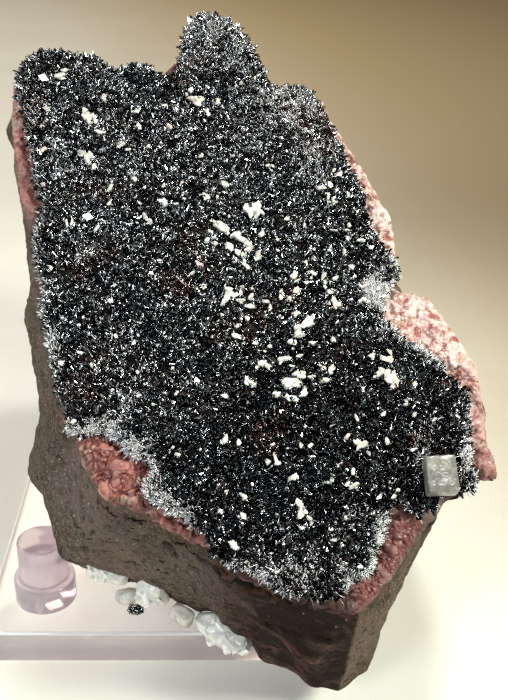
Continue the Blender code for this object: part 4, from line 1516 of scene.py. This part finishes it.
@dataclass
class WhiteCalcites:
    """The white calcite crystals on the druse, in ragged groups.

    Attributes:
        groups: Groups listed one by one.
        group_crowding: Crystals in a group, for each square millimetre.
        cluster_crowding: The same for the largest ones.
        strewn: Single small crystals spread over the whole face.
        strewn_over: From where to where they lie, along u and v.
        strewn_size: Their shortest and longest length.
        largest: Most length and width of a group's main crystal.
        largest_other: Most length of its others.
        lift: How far a crystal's middle stands off the ground, on the tips of the blades.
        habit_shares: Share of each habit.
    """

    groups: tuple[Group, ...] = (
        (-44.7, 81.0, 20, 1.9, 0.6), (-35.5, 82.1, 115, 2.0, 0.7), (-35.9, 75.6, 150, 1.5, 0.9),
        (-44.3, 72.5, 30, 1.5, 1.0), (-32.5, 72.7, 40, 1.8, 1.0), (-31.2, 71.7, 0, 1.0, 0.7),
        (-40.2, 67.9, 70, 1.5, 0.6), (-33.5, 64.2, 75, 1.7, 0.9), (-30.3, 79.8, 10, 1.5, 0.8),
        (-29.8, 76.8, 120, 1.6, 0.7), (-25.1, 76.8, 160, 1.3, 0.8), (-22.0, 84.7, 45, 1.2, 1.0),
        (-17.6, 81.7, 90, 1.6, 0.8), (-19.3, 80.0, 100, 1.2, 0.9), (-25.1, 60.9, 130, 1.9, 1.1),
        (-23.5, 61.1, 10, 1.1, 0.6), (-22.3, 61.9, 0, 0.9, 0.6), (-27.8, 58.1, 115, 1.8, 0.7),
        (-39.4, 57.7, 110, 1.5, 0.5), (-38.6, 57.7, 65, 1.6, 0.5), (-34.9, 56.6, 70, 1.4, 0.7),
        (-20.0, 70.7, 60, 1.3, 0.8), (-18.5, 72.3, 175, 1.2, 0.4), (-16.3, 64.6, 130, 1.7, 1.0),
        (-18.9, 62.1, 160, 1.5, 0.9), (-16.5, 56.4, 140, 2.6, 1.2), (-17.3, 57.4, 20, 1.6, 0.9),
        (-15.3, 53.2, 130, 2.0, 1.1), (-14.2, 52.2, 120, 1.5, 1.0), (-12.7, 52.6, 20, 1.7, 1.0),
        (-11.4, 51.6, 100, 1.9, 1.2), (-13.1, 49.9, 125, 2.0, 0.8), (-11.4, 60.3, 70, 2.0, 1.3),
        (-10.9, 55.7, 35, 1.6, 0.7), (-7.1, 58.5, 50, 1.5, 0.8), (-6.2, 48.2, 95, 2.0, 0.9),
        (-3.5, 48.7, 110, 1.4, 0.7), (-2.1, 48.2, 90, 1.7, 0.6), (-0.4, 48.0, 40, 1.2, 0.8),
        (-4.6, 47.0, 5, 1.2, 0.6), (-6.0, 45.6, 60, 1.6, 1.1), (-1.1, 45.8, 60, 1.7, 1.2),
        (-0.6, 44.0, 125, 2.2, 0.9), (3.7, 47.1, 20, 1.8, 1.1), (3.8, 44.6, 150, 1.6, 1.0),
        (-5.9, 38.5, 50, 2.2, 1.2), (-6.1, 41.9, 30, 1.4, 0.8), (-9.7, 42.7, 85, 1.6, 0.6),
        (-12.4, 43.0, 160, 1.9, 0.8), (-13.8, 44.0, 10, 1.6, 0.7), (-12.4, 44.6, 70, 1.3, 0.8),
        (-10.3, 43.7, 20, 1.2, 0.8), (-13.8, 45.6, 100, 1.4, 0.9), (-14.3, 38.0, 165, 1.8, 0.9),
        (-11.7, 37.1, 150, 1.1, 0.7), (-7.0, 37.1, 40, 1.1, 0.9), (-4.0, 36.9, 20, 1.3, 0.7),
        (-6.6, 35.8, 115, 1.1, 0.5), (-8.0, 34.3, 35, 1.9, 1.0), (-10.9, 33.4, 25, 1.5, 1.1),
        (-10.1, 33.1, 160, 1.3, 0.9), (-13.0, 31.3, 110, 1.5, 0.9), (-12.2, 30.6, 160, 1.6, 0.7),
        (-15.7, 28.6, 110, 1.5, 0.7), (-7.4, 30.2, 20, 1.6, 1.0), (-5.2, 29.4, 65, 2.3, 0.8),
        (-6.3, 32.0, 40, 1.3, 0.8), (-5.3, 31.9, 110, 1.1, 0.8), (-4.3, 31.2, 10, 1.3, 0.6),
        (-2.5, 30.9, 5, 1.9, 0.7), (-1.5, 32.4, 85, 1.6, 1.1), (-2.6, 33.1, 150, 1.5, 0.8),
        (-6.6, 28.1, 145, 1.9, 1.0), (-9.0, 28.7, 5, 1.5, 0.9), (-6.7, 33.2, 0, 1.6, 0.4),
        (-5.8, 34.8, 20, 1.2, 0.6), (4.0, 34.8, 10, 1.3, 0.8), (5.9, 34.4, 5, 2.0, 0.9),
        (6.6, 35.5, 140, 1.4, 0.6), (5.0, 32.4, 30, 1.6, 1.2), (7.0, 30.6, 60, 1.9, 1.3),
        (9.6, 30.4, 40, 0.9, 0.8), (-19.7, 50.1, 150, 1.3, 0.8), (-20.8, 48.7, 40, 1.1, 0.8),
        (-19.0, 46.3, 100, 1.2, 0.9), (-1.9, 64.6, 30, 1.5, 0.9), (-0.5, 64.9, 70, 1.3, 0.9),
        (0.3, 64.0, 110, 1.3, 0.7), (0.9, 66.7, 40, 1.4, 0.9), (-0.9, 63.0, 60, 1.5, 0.6),
        (-0.1, 62.0, 130, 1.2, 0.9), (1.7, 54.8, 150, 1.3, 0.7), (3.6, 54.6, 160, 1.5, 0.8),
        (5.0, 53.3, 20, 1.1, 0.7), (-0.3, 56.4, 170, 1.4, 0.6), (1.1, 52.8, 110, 1.6, 0.6),
        (-15.7, 21.8, 60, 1.6, 0.8), (-9.2, 19.4, 100, 1.6, 0.6), (-8.9, 18.6, 170, 1.1, 0.7),
        (-7.1, 16.4, 50, 1.7, 1.1), (-13.2, 14.2, 125, 1.5, 0.8), (-5.0, 11.0, 100, 2.1, 0.7),
        (-2.0, 16.4, 70, 1.3, 0.8), (0.7, 15.5, 15, 1.9, 0.9), (0.7, 17.4, 80, 1.1, 0.7),
        (2.8, 20.2, 130, 1.3, 0.6), (5.4, 21.8, 90, 1.2, 0.8), (8.8, 20.8, 10, 1.3, 0.5),
        (9.2, 25.7, 65, 2.0, 0.6), (1.5, 25.1, 130, 1.4, 0.5), (3.9, 14.0, 20, 1.4, 0.6),
        (-14.4, 7.6, 140, 1.8, 1.0), (-2.0, 8.1, 5, 1.5, 0.5), (0.2, 22.7, 60, 1.2, 0.7),
    )
    group_crowding: float = 1.5
    cluster_crowding: float = 1.1
    strewn: int = 270
    strewn_over: tuple[tuple[float, float], tuple[float, float]] = ((-48.0, 16.0), (4.0, 100.0))
    strewn_size: tuple[float, float] = (0.5, 1.15)
    largest: tuple[float, float] = (1.8, 0.9)
    largest_other: float = 1.2
    lift: float = 0.62
    habit_shares: tuple[float, ...] = (0.5, 0.2, 0.3)

    def patterns(self) -> dict[Habit, Pattern]:
        """Model one crystal of each habit, one unit long, wide and high."""
        return {Habit.FLAKE: self.flake(), Habit.LATH: self.lath(), Habit.BLOCK: self.block()}

    def flake(self) -> Pattern:
        """An uneven six-sided flake with a worn rim."""
        bpy.ops.mesh.primitive_cylinder_add(vertices=6, radius=0.55, depth=0.8, end_fill_type="NGON")
        piece = named("flake_pattern")
        with edit(piece) as bm:
            pick(bm, lambda face: face.normal.x > 0.7)
            bpy.ops.transform.translate(value=(0.13, 0.08, 0.06))
            pick(bm, lambda face: face.normal.z > 0.9)
            bpy.ops.mesh.inset(thickness=0.13)
            bpy.ops.transform.translate(value=(-0.05, 0.04, 0.10))
            pick(bm, lambda face: face.normal.y < -0.8)
            bpy.ops.transform.resize(value=(0.5, 1.0, 0.8))
        return Pattern.taken_from(piece)

    def lath(self) -> Pattern:
        """A lath with a ridge along it and one end worn thin."""
        bpy.ops.mesh.primitive_cube_add(size=0.8)
        piece = named("lath_pattern")
        with edit(piece) as bm:
            pick(bm, lambda face: face.normal.x > 0.9)
            bpy.ops.mesh.extrude_region_move(TRANSFORM_OT_translate={"value": (0.16, 0.05, 0.0)})
            bpy.ops.transform.resize(value=(1.0, 0.35, 0.5))
            pick(bm, lambda face: face.normal.x < -0.9)
            bpy.ops.mesh.extrude_region_move(TRANSFORM_OT_translate={"value": (-0.12, -0.08, 0.0)})
            bpy.ops.transform.resize(value=(1.0, 0.55, 0.6))
            bpy.ops.mesh.select_all(action="SELECT")
            bpy.ops.mesh.bevel(offset=0.08, segments=1, affect="EDGES")
        return Pattern.taken_from(piece)

    def block(self) -> Pattern:
        """A leaning little rhomb with softened edges."""
        bpy.ops.mesh.primitive_cube_add(size=0.9)
        piece = named("block_pattern")
        with edit(piece) as bm:
            pick(bm, lambda face: face.normal.z > 0.9)
            bpy.ops.transform.translate(value=(0.16, -0.12, 0.0))
            bpy.ops.transform.resize(value=(0.85, 0.72, 1.0))
            pick(bm, lambda face: face.normal.y > 0.7)
            bpy.ops.transform.translate(value=(-0.14, 0.0, 0.05))
            bpy.ops.mesh.select_all(action="SELECT")
            bpy.ops.mesh.bevel(offset=0.07, segments=1, affect="EDGES")
        return Pattern.taken_from(piece)

    def dress(self, ground: Object, rng: Random) -> None:
        """Build every white crystal on the druse, and hand them over.

        Args:
            ground: The crust that carries the crystals.
            rng: Source of the crystals' turns and of the strewn ones.
        """
        material = CalciteFinish().material()
        patterns = self.patterns()
        surface = surface_tree(ground.data)
        for node in sorted(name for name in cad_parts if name.startswith("white_calcite_")):
            crystals = Crystals()
            self.grow(crystals, self.footprint(node), self.cluster_crowding, surface, rng)
            piece = crystals.joined(node.replace("white_calcite", "calcite_cluster"), patterns)
            hand_over(piece, Slot.WHITE_CALCITE, material, node)
        grouped = Crystals()
        for group in self.groups:
            self.grow(grouped, group, self.group_crowding, surface, rng)
        hand_over(grouped.joined("calcite_groups", patterns), Slot.WHITE_CALCITE, material)
        single = Crystals()
        for group in self.strewn_groups(rng):
            self.grow(single, group, 0.0, surface, rng)
        hand_over(single.joined("calcite_strewn", patterns), Slot.WHITE_CALCITE, material)

    @staticmethod
    def footprint(node: str) -> Group:
        """The place, heading, length and width of a packed crystal, as in groups."""
        place = FACE.to_face(points_of(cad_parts[node].data))[:, :2]
        middle = (place.min(axis=0) + place.max(axis=0)) / 2
        _, turn = np.linalg.eigh(np.cov((place - middle).T))
        spread = np.ptp((place - middle) @ turn, axis=0)
        heading = math.degrees(math.atan2(turn[1, 1], turn[0, 1]))
        return (middle[0], middle[1], heading, spread[1], spread[0])

    def strewn_groups(self, rng: Random) -> list[Group]:
        """Small single crystals at random over the face, thicker to its right."""
        across, up = self.strewn_over
        groups = []
        while len(groups) < self.strewn:
            u, v = rng.uniform(*across), rng.uniform(*up)
            if rng.random() < 0.45 + (u - across[0]) / 110:
                size = rng.uniform(*self.strewn_size)
                groups.append((u, v, rng.uniform(0, 180), size, size * rng.uniform(0.5, 0.9)))
        return groups

    def grow(
        self, crystals: Crystals, group: Group, crowding: float, surface: BVHTree, rng: Random
    ) -> None:
        """Lay the crystals of one group on the druse, where lines down onto the face meet it.

        Args:
            crystals: Where the crystals are gathered.
            group: The group, as in groups.
            crowding: Crystals for each square millimetre, or 0 for a single one.
            surface: The druse's ground.
            rng: Source of the places, turns and leans.
        """
        u, v, heading, length, width = group
        longest, broadest = self.largest
        ahead = np.array([math.cos(math.radians(heading)), math.sin(math.radians(heading))])
        for number in range(max(1, round(length * width * crowding))):
            main = number == 0
            turned = math.radians(heading + rng.normal(0.0, 6.0 if main else 30.0))
            if main:
                size, broad = min(length * 0.80, longest), min(width * 0.8, broadest)
            else:
                size = min(length * rng.uniform(0.35, 0.6), self.largest_other)
                broad = min(size * rng.uniform(0.45, 0.75), width)
            along, across = rng.uniform(-0.45, 0.45) * length, rng.uniform(-0.45, 0.45) * width
            spot = np.array([u, v])
            if not main:
                spot += along * ahead + across * np.array([-ahead[1], ahead[0]])
            hit, normal = met(surface, *spot)
            if hit is None:
                continue
            first = FACE.turn @ np.array([math.cos(turned), math.sin(turned), 0.0]) + rng.normal(0, 0.25, 3)
            first /= np.linalg.norm(first)
            side = unit(np.cross(np.array(normal) + rng.normal(0, 0.28, 3), first)[None])[0]
            thick = broad * rng.uniform(0.35, 0.7)
            lift = self.lift + thick * 0.3 + rng.uniform(-0.1, 0.15)
            centre = np.array(hit) + FACE.turn[:, 2] * lift * MM
            habit = list(Habit)[rng.choice(3, p=self.habit_shares)]
            axes = np.stack([first * size, side * broad, np.cross(first, side) * thick])
            crystals.add(habit, centre, axes * MM)


@dataclass
class CalciteRhomb:
    """The translucent rhomb near the lower right corner of the druse.

    Attributes:
        bevel: Width of its worn edges, in metres.
        dents: Size and depth of its shallow dents, in metres.
    """

    bevel: float = 0.000066
    dents: tuple[float, float] = (0.0012, 0.00007)

    def dress(self) -> None:
        """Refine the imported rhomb, wear its edges and hand it over."""
        piece = merged_copy("calcite_rhomb", "rhomb_crystal")
        with edit(piece, "SELECT"):
            bpy.ops.mesh.tris_convert_to_quads(face_threshold=math.radians(2), shape_threshold=math.pi)
            bpy.ops.mesh.bevel(offset=self.bevel, segments=1, affect="EDGES")
            bpy.ops.mesh.subdivide(number_cuts=4)
        points = points_of(piece.data)
        size, depth = self.dents
        shift = rough(points, size, 3, 5.0) * depth
        move_points(piece.data, points + normals_of(piece.data) * shift[:, None])
        smooth_below(piece, 30)
        hand_over(piece, Slot.CLEAR_CALCITE, ClearCalciteFinish().material(), "calcite_rhomb")


@dataclass
class EdgeCrystals:
    """Calcite and a little hematite along the specimen's lower back edge.

    Attributes:
        milky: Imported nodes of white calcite.
        clear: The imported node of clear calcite.
        black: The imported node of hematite.
        crowding: Crystals for each lump.
        glassy: A clear crystal beside the vein, as its place and its size, in millimetres.
        flats: Size, in metres, and share of each layer of flats on a lump.
        blade_count: Black blades on the hematite.
        shrink: How far the hematite's lump draws back under them.
        milky_finish: Finish of the white calcite.
        clear_finish: Finish of the clear calcite.
    """

    milky: tuple[str, ...] = ("underside_calcite_vein", "underside_calcite_block", "underside_calcite_long")
    clear: str = "underside_calcite_clear"
    black: str = "underside_hematite"
    crowding: int = 9
    glassy: tuple[Point, Point] = ((-31.6, 14.4, 0.2), (1.7, 1.3, 1.2))
    flats: tuple[tuple[float, float], ...] = ((0.0026, 1.0), (0.0009, 0.2))
    blade_count: int = 260
    shrink: Point = (0.8, 0.6, 0.6)
    milky_finish: ClearCalciteFinish = ClearCalciteFinish(
        clear=(0.90, 0.88, 0.82), milk=(0.78, 0.74, 0.67), transmission=0.45
    )
    clear_finish: ClearCalciteFinish = ClearCalciteFinish(
        clear=(0.74, 0.70, 0.62), milk=(0.66, 0.60, 0.52), transmission=0.4
    )

    def lump(self, node: str, name: str, depth: float, seed: float) -> Object:
        """Refine a packed lump and break its surface into small flats."""
        piece = merged_copy(node, name)
        with edit(piece, "SELECT"):
            bpy.ops.mesh.subdivide(number_cuts=4)
            bpy.ops.mesh.vertices_smooth(factor=0.5, repeat=3)
            bpy.ops.mesh.quads_convert_to_tris()
        self.break_up(piece, depth, seed)
        return piece

    def break_up(self, piece: Object, depth: float, seed: float) -> None:
        """Break a lump's surface into small uneven flats of this depth."""
        points = points_of(piece.data)
        shift = sum(rough(points, size, 1, seed) * depth * share for size, share in self.flats)
        move_points(piece.data, points + normals_of(piece.data) * shift[:, None])

    def glass(self) -> Object:
        """The clear crystal beside the vein."""
        place, size = self.glassy
        middle = FACE.to_scene(np.array([place]))[0]
        bpy.ops.mesh.primitive_ico_sphere_add(subdivisions=4, radius=MM, location=middle)
        piece = named("edge_calcite_glassy")
        piece.scale = size
        settle(piece)
        self.break_up(piece, 0.0006, 23.0)
        return piece

    def dress(self, rng: Random) -> None:
        """Build the lumps with small crystals on them, and hand them over."""
        white = self.milky_finish.material()
        clear = self.clear_finish.material()
        patterns = WhiteCalcites().patterns()
        for number, node in enumerate(self.milky):
            piece = self.lump(node, node.replace("underside", "edge"), 0.0005, number * 3.7)
            self.cover(piece, patterns, white, rng)
            hand_over(piece, Slot.WHITE_CALCITE, white, node)
        piece = self.lump(self.clear, "edge_calcite_clear", 0.0004, 11.0)
        hand_over(piece, Slot.CLEAR_CALCITE, clear, self.clear)
        hand_over(self.glass(), Slot.CLEAR_CALCITE, clear)
        piece = self.lump(self.black, "edge_hematite", 0.0003, 17.0)
        with edit(piece, "SELECT"):
            middle = points_of(piece.data).mean(axis=0)
            bpy.ops.transform.resize(value=self.shrink, center_override=middle)
        hand_over(self.blades(piece, rng), Slot.HEMATITE, HematiteFinish().material())
        hand_over(piece, Slot.HEMATITE, GroundFinish().material(), self.black)

    def blades(self, piece: Object, rng: Random) -> Object:
        """Stand black blades on the hematite's lump."""
        spots = Spots.over(piece.data, self.blade_count, rng, np.ones(len(piece.data.polygons)))
        length = rng.uniform(0.4, 0.9, len(spots)) * MM
        axes = standing(spots, 0.5, rng)
        sides = np.stack([length * 0.8, length, length * 0.14], axis=1)
        tone = {"tone": rng.random(len(spots)) ** 3}
        pattern = HematiteDruse().blade()
        return pattern.repeated("edge_hematite_blades", spots.points, axes * sides[:, :, None], tone)

    def cover(self, piece: Object, patterns: dict[Habit, Pattern], material: Material, rng: Random) -> None:
        """Set small crystals into a lump's surface, and hand them over."""
        spots = Spots.over(piece.data, self.crowding, rng, np.ones(len(piece.data.polygons)))
        axes = standing(spots, 0.7, rng)
        crystals = Crystals()
        for point, turn in zip(spots.points, axes):
            size = rng.uniform(1.2, 2.6)
            sides = np.array([[size], [size * rng.uniform(0.5, 0.9)], [size * rng.uniform(0.3, 0.6)]])
            crystals.add(list(Habit)[rng.integers(3)], point - turn[1] * size * 0.25 * MM, turn * sides * MM)
        hand_over(crystals.joined(f"{piece.name}_crystals", patterns), Slot.WHITE_CALCITE, material)


@dataclass
class ClearStand:
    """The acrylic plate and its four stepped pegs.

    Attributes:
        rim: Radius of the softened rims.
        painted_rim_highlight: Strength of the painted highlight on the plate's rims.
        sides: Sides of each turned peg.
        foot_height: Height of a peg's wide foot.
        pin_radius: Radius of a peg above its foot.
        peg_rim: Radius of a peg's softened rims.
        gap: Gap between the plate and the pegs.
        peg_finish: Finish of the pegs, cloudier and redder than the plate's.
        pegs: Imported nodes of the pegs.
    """

    rim: float = 0.0005
    painted_rim_highlight: float = 0.55
    sides: int = 64
    foot_height: float = 0.0044
    pin_radius: float = 0.0039
    peg_rim: float = 0.00035
    gap: float = 0.00002
    peg_finish: AcrylicFinish = AcrylicFinish(
        tint=(0.80, 0.62, 0.68), milk=(0.34, 0.25, 0.27), clouding=0.26, density=110.0
    )
    pegs: tuple[str, ...] = (
        "stand_peg_front_left",
        "stand_peg_front_right",
        "stand_peg_rear_left",
        "stand_peg_rear_right",
    )

    def plate(self) -> Object:
        """The square plate with polished, softened edges."""
        low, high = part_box("stand_base")
        bpy.ops.mesh.primitive_cube_add(size=1.0, location=(low + high) / 2)
        piece = named("stand_plate")
        piece.scale = high - low
        settle(piece)
        apply_modifier(piece, "BEVEL", width=self.rim, segments=4, limit_method="ANGLE")
        smooth_below(piece, 30)
        # Mark the plate's rims for the painted highlight.
        points = points_of(piece.data)
        inside = np.minimum(np.array(high) - points, points - np.array(low)) / self.rim < 0.9
        on_rim = inside[:, 2] & (inside[:, 0] | inside[:, 1])
        store(piece.data, "rim", np.where(on_rim, self.painted_rim_highlight, 0.0))
        return piece

    def peg(self, node: str) -> Object:
        """One peg, turned: a wide foot, then a pin up to the rock."""
        low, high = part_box(node)
        centre = (low + high) / 2
        foot_radius = (high.x - low.x) / 2
        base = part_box("stand_base")[1].z + self.gap
        bpy.ops.mesh.primitive_cylinder_add(
            vertices=self.sides,
            radius=foot_radius,
            depth=self.foot_height,
            location=(centre.x, centre.y, base + self.foot_height / 2),
        )
        piece = named(node.replace("stand_peg", "peg"))
        with edit(piece) as bm:
            pick(bm, lambda face: face.normal.z > 0.9)
            bpy.ops.mesh.inset(thickness=foot_radius - self.pin_radius)
            rise = high.z - base - self.foot_height
            bpy.ops.mesh.extrude_region_move(TRANSFORM_OT_translate={"value": (0.0, 0.0, rise)})
        settle(piece)
        apply_modifier(piece, "BEVEL", width=self.peg_rim, segments=3, limit_method="ANGLE")
        smooth_below(piece, 30)
        return piece

    def dress(self) -> None:
        """Build the plate and the pegs, and hand them over."""
        hand_over(self.plate(), Slot.ACRYLIC, AcrylicFinish().material(), "stand_base")
        material = self.peg_finish.material()
        for node in self.pegs:
            hand_over(self.peg(node), Slot.ACRYLIC, material, node)


@dataclass(frozen=True)
class Lamp:
    """One soft square lamp.

    Attributes:
        name: Its name.
        place: Where it hangs.
        target: What it faces.
        size: Its side.
        spread: The full angle of its beam, in degrees.
        power: Its power in watts.
        colour: Its colour.
    """

    name: str
    place: Point
    target: Point
    size: float
    spread: float
    power: float
    colour: Colour

    def hang(self) -> None:
        """Add the lamp to the scene."""
        light = bpy.data.lights.new(self.name, "AREA")
        light.size = self.size
        light.spread = math.radians(self.spread)
        light.energy = self.power
        light.color = self.colour
        lamp = bpy.data.objects.new(self.name, light)
        lamp.location = self.place
        aim = Vector(self.target) - Vector(self.place)
        lamp.rotation_euler = aim.to_track_quat("-Z", "Y").to_euler()
        bpy.context.scene.collection.objects.link(lamp)


@dataclass
class Studio:
    """Table, lamps and camera.

    Attributes:
        table_radius: How far the table reaches.
        table_level: Height of its top, a hair under the stand.
        table_rim: Width of its rim, as a share of its radius.
        camera_place: Where the camera stands.
        camera_tilt: Its tilt up from looking straight down.
        camera_lens: Its focal length, in millimetres.
        camera_sensor: Its sensor's long side, in millimetres.
        camera_start: The nearest distance that it sees.
        lamps: The lamps.
        sky: Colour of the light from all round.
        sky_strength: Its strength.
        room: Colour of the room that is seen through the clear pieces.
    """

    table_radius: float = 1.6
    table_level: float = -0.0001
    table_rim: float = 0.2
    camera_place: Point = (0.01424, -0.16617, 0.12926)
    camera_tilt: float = math.radians(62.0)
    camera_lens: float = 59.14
    camera_sensor: float = 36.0
    camera_start: float = 0.005
    lamps: tuple[Lamp, ...] = (
        Lamp("left lamp", (-0.30, 0.10, 0.30), (-0.12, 0.21, 0.0), 0.24, 120.0, 0.57, (1.0, 1.0, 0.95)),
        Lamp("back lamp", (-0.24, 0.50, 0.36), (-0.08, 0.30, 0.0), 0.26, 120.0, 0.44, (1.0, 0.90, 0.68)),
        Lamp("front lamp", FRONT_LAMP, (-0.02, -0.03, 0.01), 0.12, 70.0, 0.21, (0.84, 0.94, 1.0)),
        Lamp("right lamp", (0.31, -0.22, 0.32), (0.03, -0.02, 0.03), 0.10, 36.0, 0.134, (0.95, 1.0, 0.88)),
        Lamp("top lamp", (0.09, 0.06, 0.50), (0.01, 0.0, 0.05), 0.08, 40.0, 0.068, (1.0, 0.98, 0.98)),
    )
    sky: Colour = (1.0, 0.50, 0.30)
    sky_strength: float = 0.035
    room: Colour = (0.27, 0.22, 0.21)

    def table(self) -> None:
        """A round pale table top."""
        bpy.ops.mesh.primitive_circle_add(
            vertices=96, radius=self.table_radius, fill_type="NGON", location=(0.0, 0.0, self.table_level)
        )
        piece = named("table_top")
        with edit(piece) as bm:
            pick(bm, lambda face: True)
            bpy.ops.mesh.inset(thickness=self.table_radius * self.table_rim)
        piece.data.materials.append(FloorFinish().material())

    def camera(self) -> None:
        """The camera, at the photograph's angle and distance."""
        view = bpy.data.cameras.new("camera")
        view.lens = self.camera_lens
        view.sensor_width = self.camera_sensor
        view.clip_start = self.camera_start
        camera = bpy.data.objects.new("camera", view)
        camera.location = self.camera_place
        camera.rotation_euler = (self.camera_tilt, 0.0, 0.0)
        bpy.context.scene.collection.objects.link(camera)
        bpy.context.scene.camera = camera

    def air(self) -> None:
        """A dim warm light from all round, and a pale room to be seen through the clear pieces."""
        world = bpy.data.worlds.new("air")
        world.use_nodes = True
        nodes, links = world.node_tree.nodes, world.node_tree.links
        dim = nodes["Background"]
        dim.inputs["Color"].default_value = rgba(self.sky)
        dim.inputs["Strength"].default_value = self.sky_strength
        room = nodes.new("ShaderNodeBackground")
        room.inputs["Color"].default_value = rgba(self.room)
        ray = nodes.new("ShaderNodeLightPath")
        both = nodes.new("ShaderNodeMixShader")
        links.new(ray.outputs["Is Transmission Ray"], both.inputs[0])
        links.new(dim.outputs[0], both.inputs[1])
        links.new(room.outputs[0], both.inputs[2])
        links.new(both.outputs[0], nodes["World Output"].inputs["Surface"])
        bpy.context.scene.world = world

    def develop(self) -> None:
        """Smooth the render's grain, but keep the druse's sparkle as it falls."""
        scene = bpy.context.scene
        layer = bpy.context.view_layer
        scene.cycles.use_denoising = False
        layer.use_pass_object_index = layer.use_pass_normal = layer.use_pass_diffuse_color = True
        scene.use_nodes = True
        nodes, links = scene.node_tree.nodes, scene.node_tree.links
        nodes.clear()
        layers = nodes.new("CompositorNodeRLayers")
        smooth = nodes.new("CompositorNodeDenoise")
        mask = nodes.new("CompositorNodeIDMask")
        mask.index = SPARKLING
        mix = nodes.new("CompositorNodeMixRGB")
        picture = nodes.new("CompositorNodeComposite")
        for start, end in (
            (layers.outputs["Image"], smooth.inputs["Image"]),
            (layers.outputs["Normal"], smooth.inputs["Normal"]),
            (layers.outputs["DiffCol"], smooth.inputs["Albedo"]),
            (next(output for output in layers.outputs if output.name == "IndexOB"), mask.inputs[0]),
            (mask.outputs[0], mix.inputs[0]),
            (smooth.outputs["Image"], mix.inputs[1]),
            (layers.outputs["Image"], mix.inputs[2]),
            (mix.outputs["Image"], picture.inputs["Image"]),
        ):
            links.new(start, end)

    def set_up(self) -> None:
        """Set up the table, the lamps, the air and the camera."""
        bpy.context.scene.view_settings.view_transform = "Standard"
        self.develop()
        self.table()
        for lamp in self.lamps:
            lamp.hang()
        self.air()
        self.camera()


def write_sizes() -> None:
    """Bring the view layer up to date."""
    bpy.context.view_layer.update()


def main() -> None:
    """Build the specimen from its rock outwards, then its stand and the studio."""
    logging.basicConfig(level=logging.INFO, format="%(message)s")
    rng = np.random.default_rng(SEED)
    Studio().set_up()
    MatrixRock().dress()
    rind = RedRind()
    rind.dress(rng)
    ground = HematiteDruse().dress(rind.bare_points, rng)
    WhiteCalcites().dress(ground, rng)
    CalciteRhomb().dress()
    EdgeCrystals().dress(rng)
    ClearStand().dress()
    write_sizes()


if __name__ == "__main__":
    main()
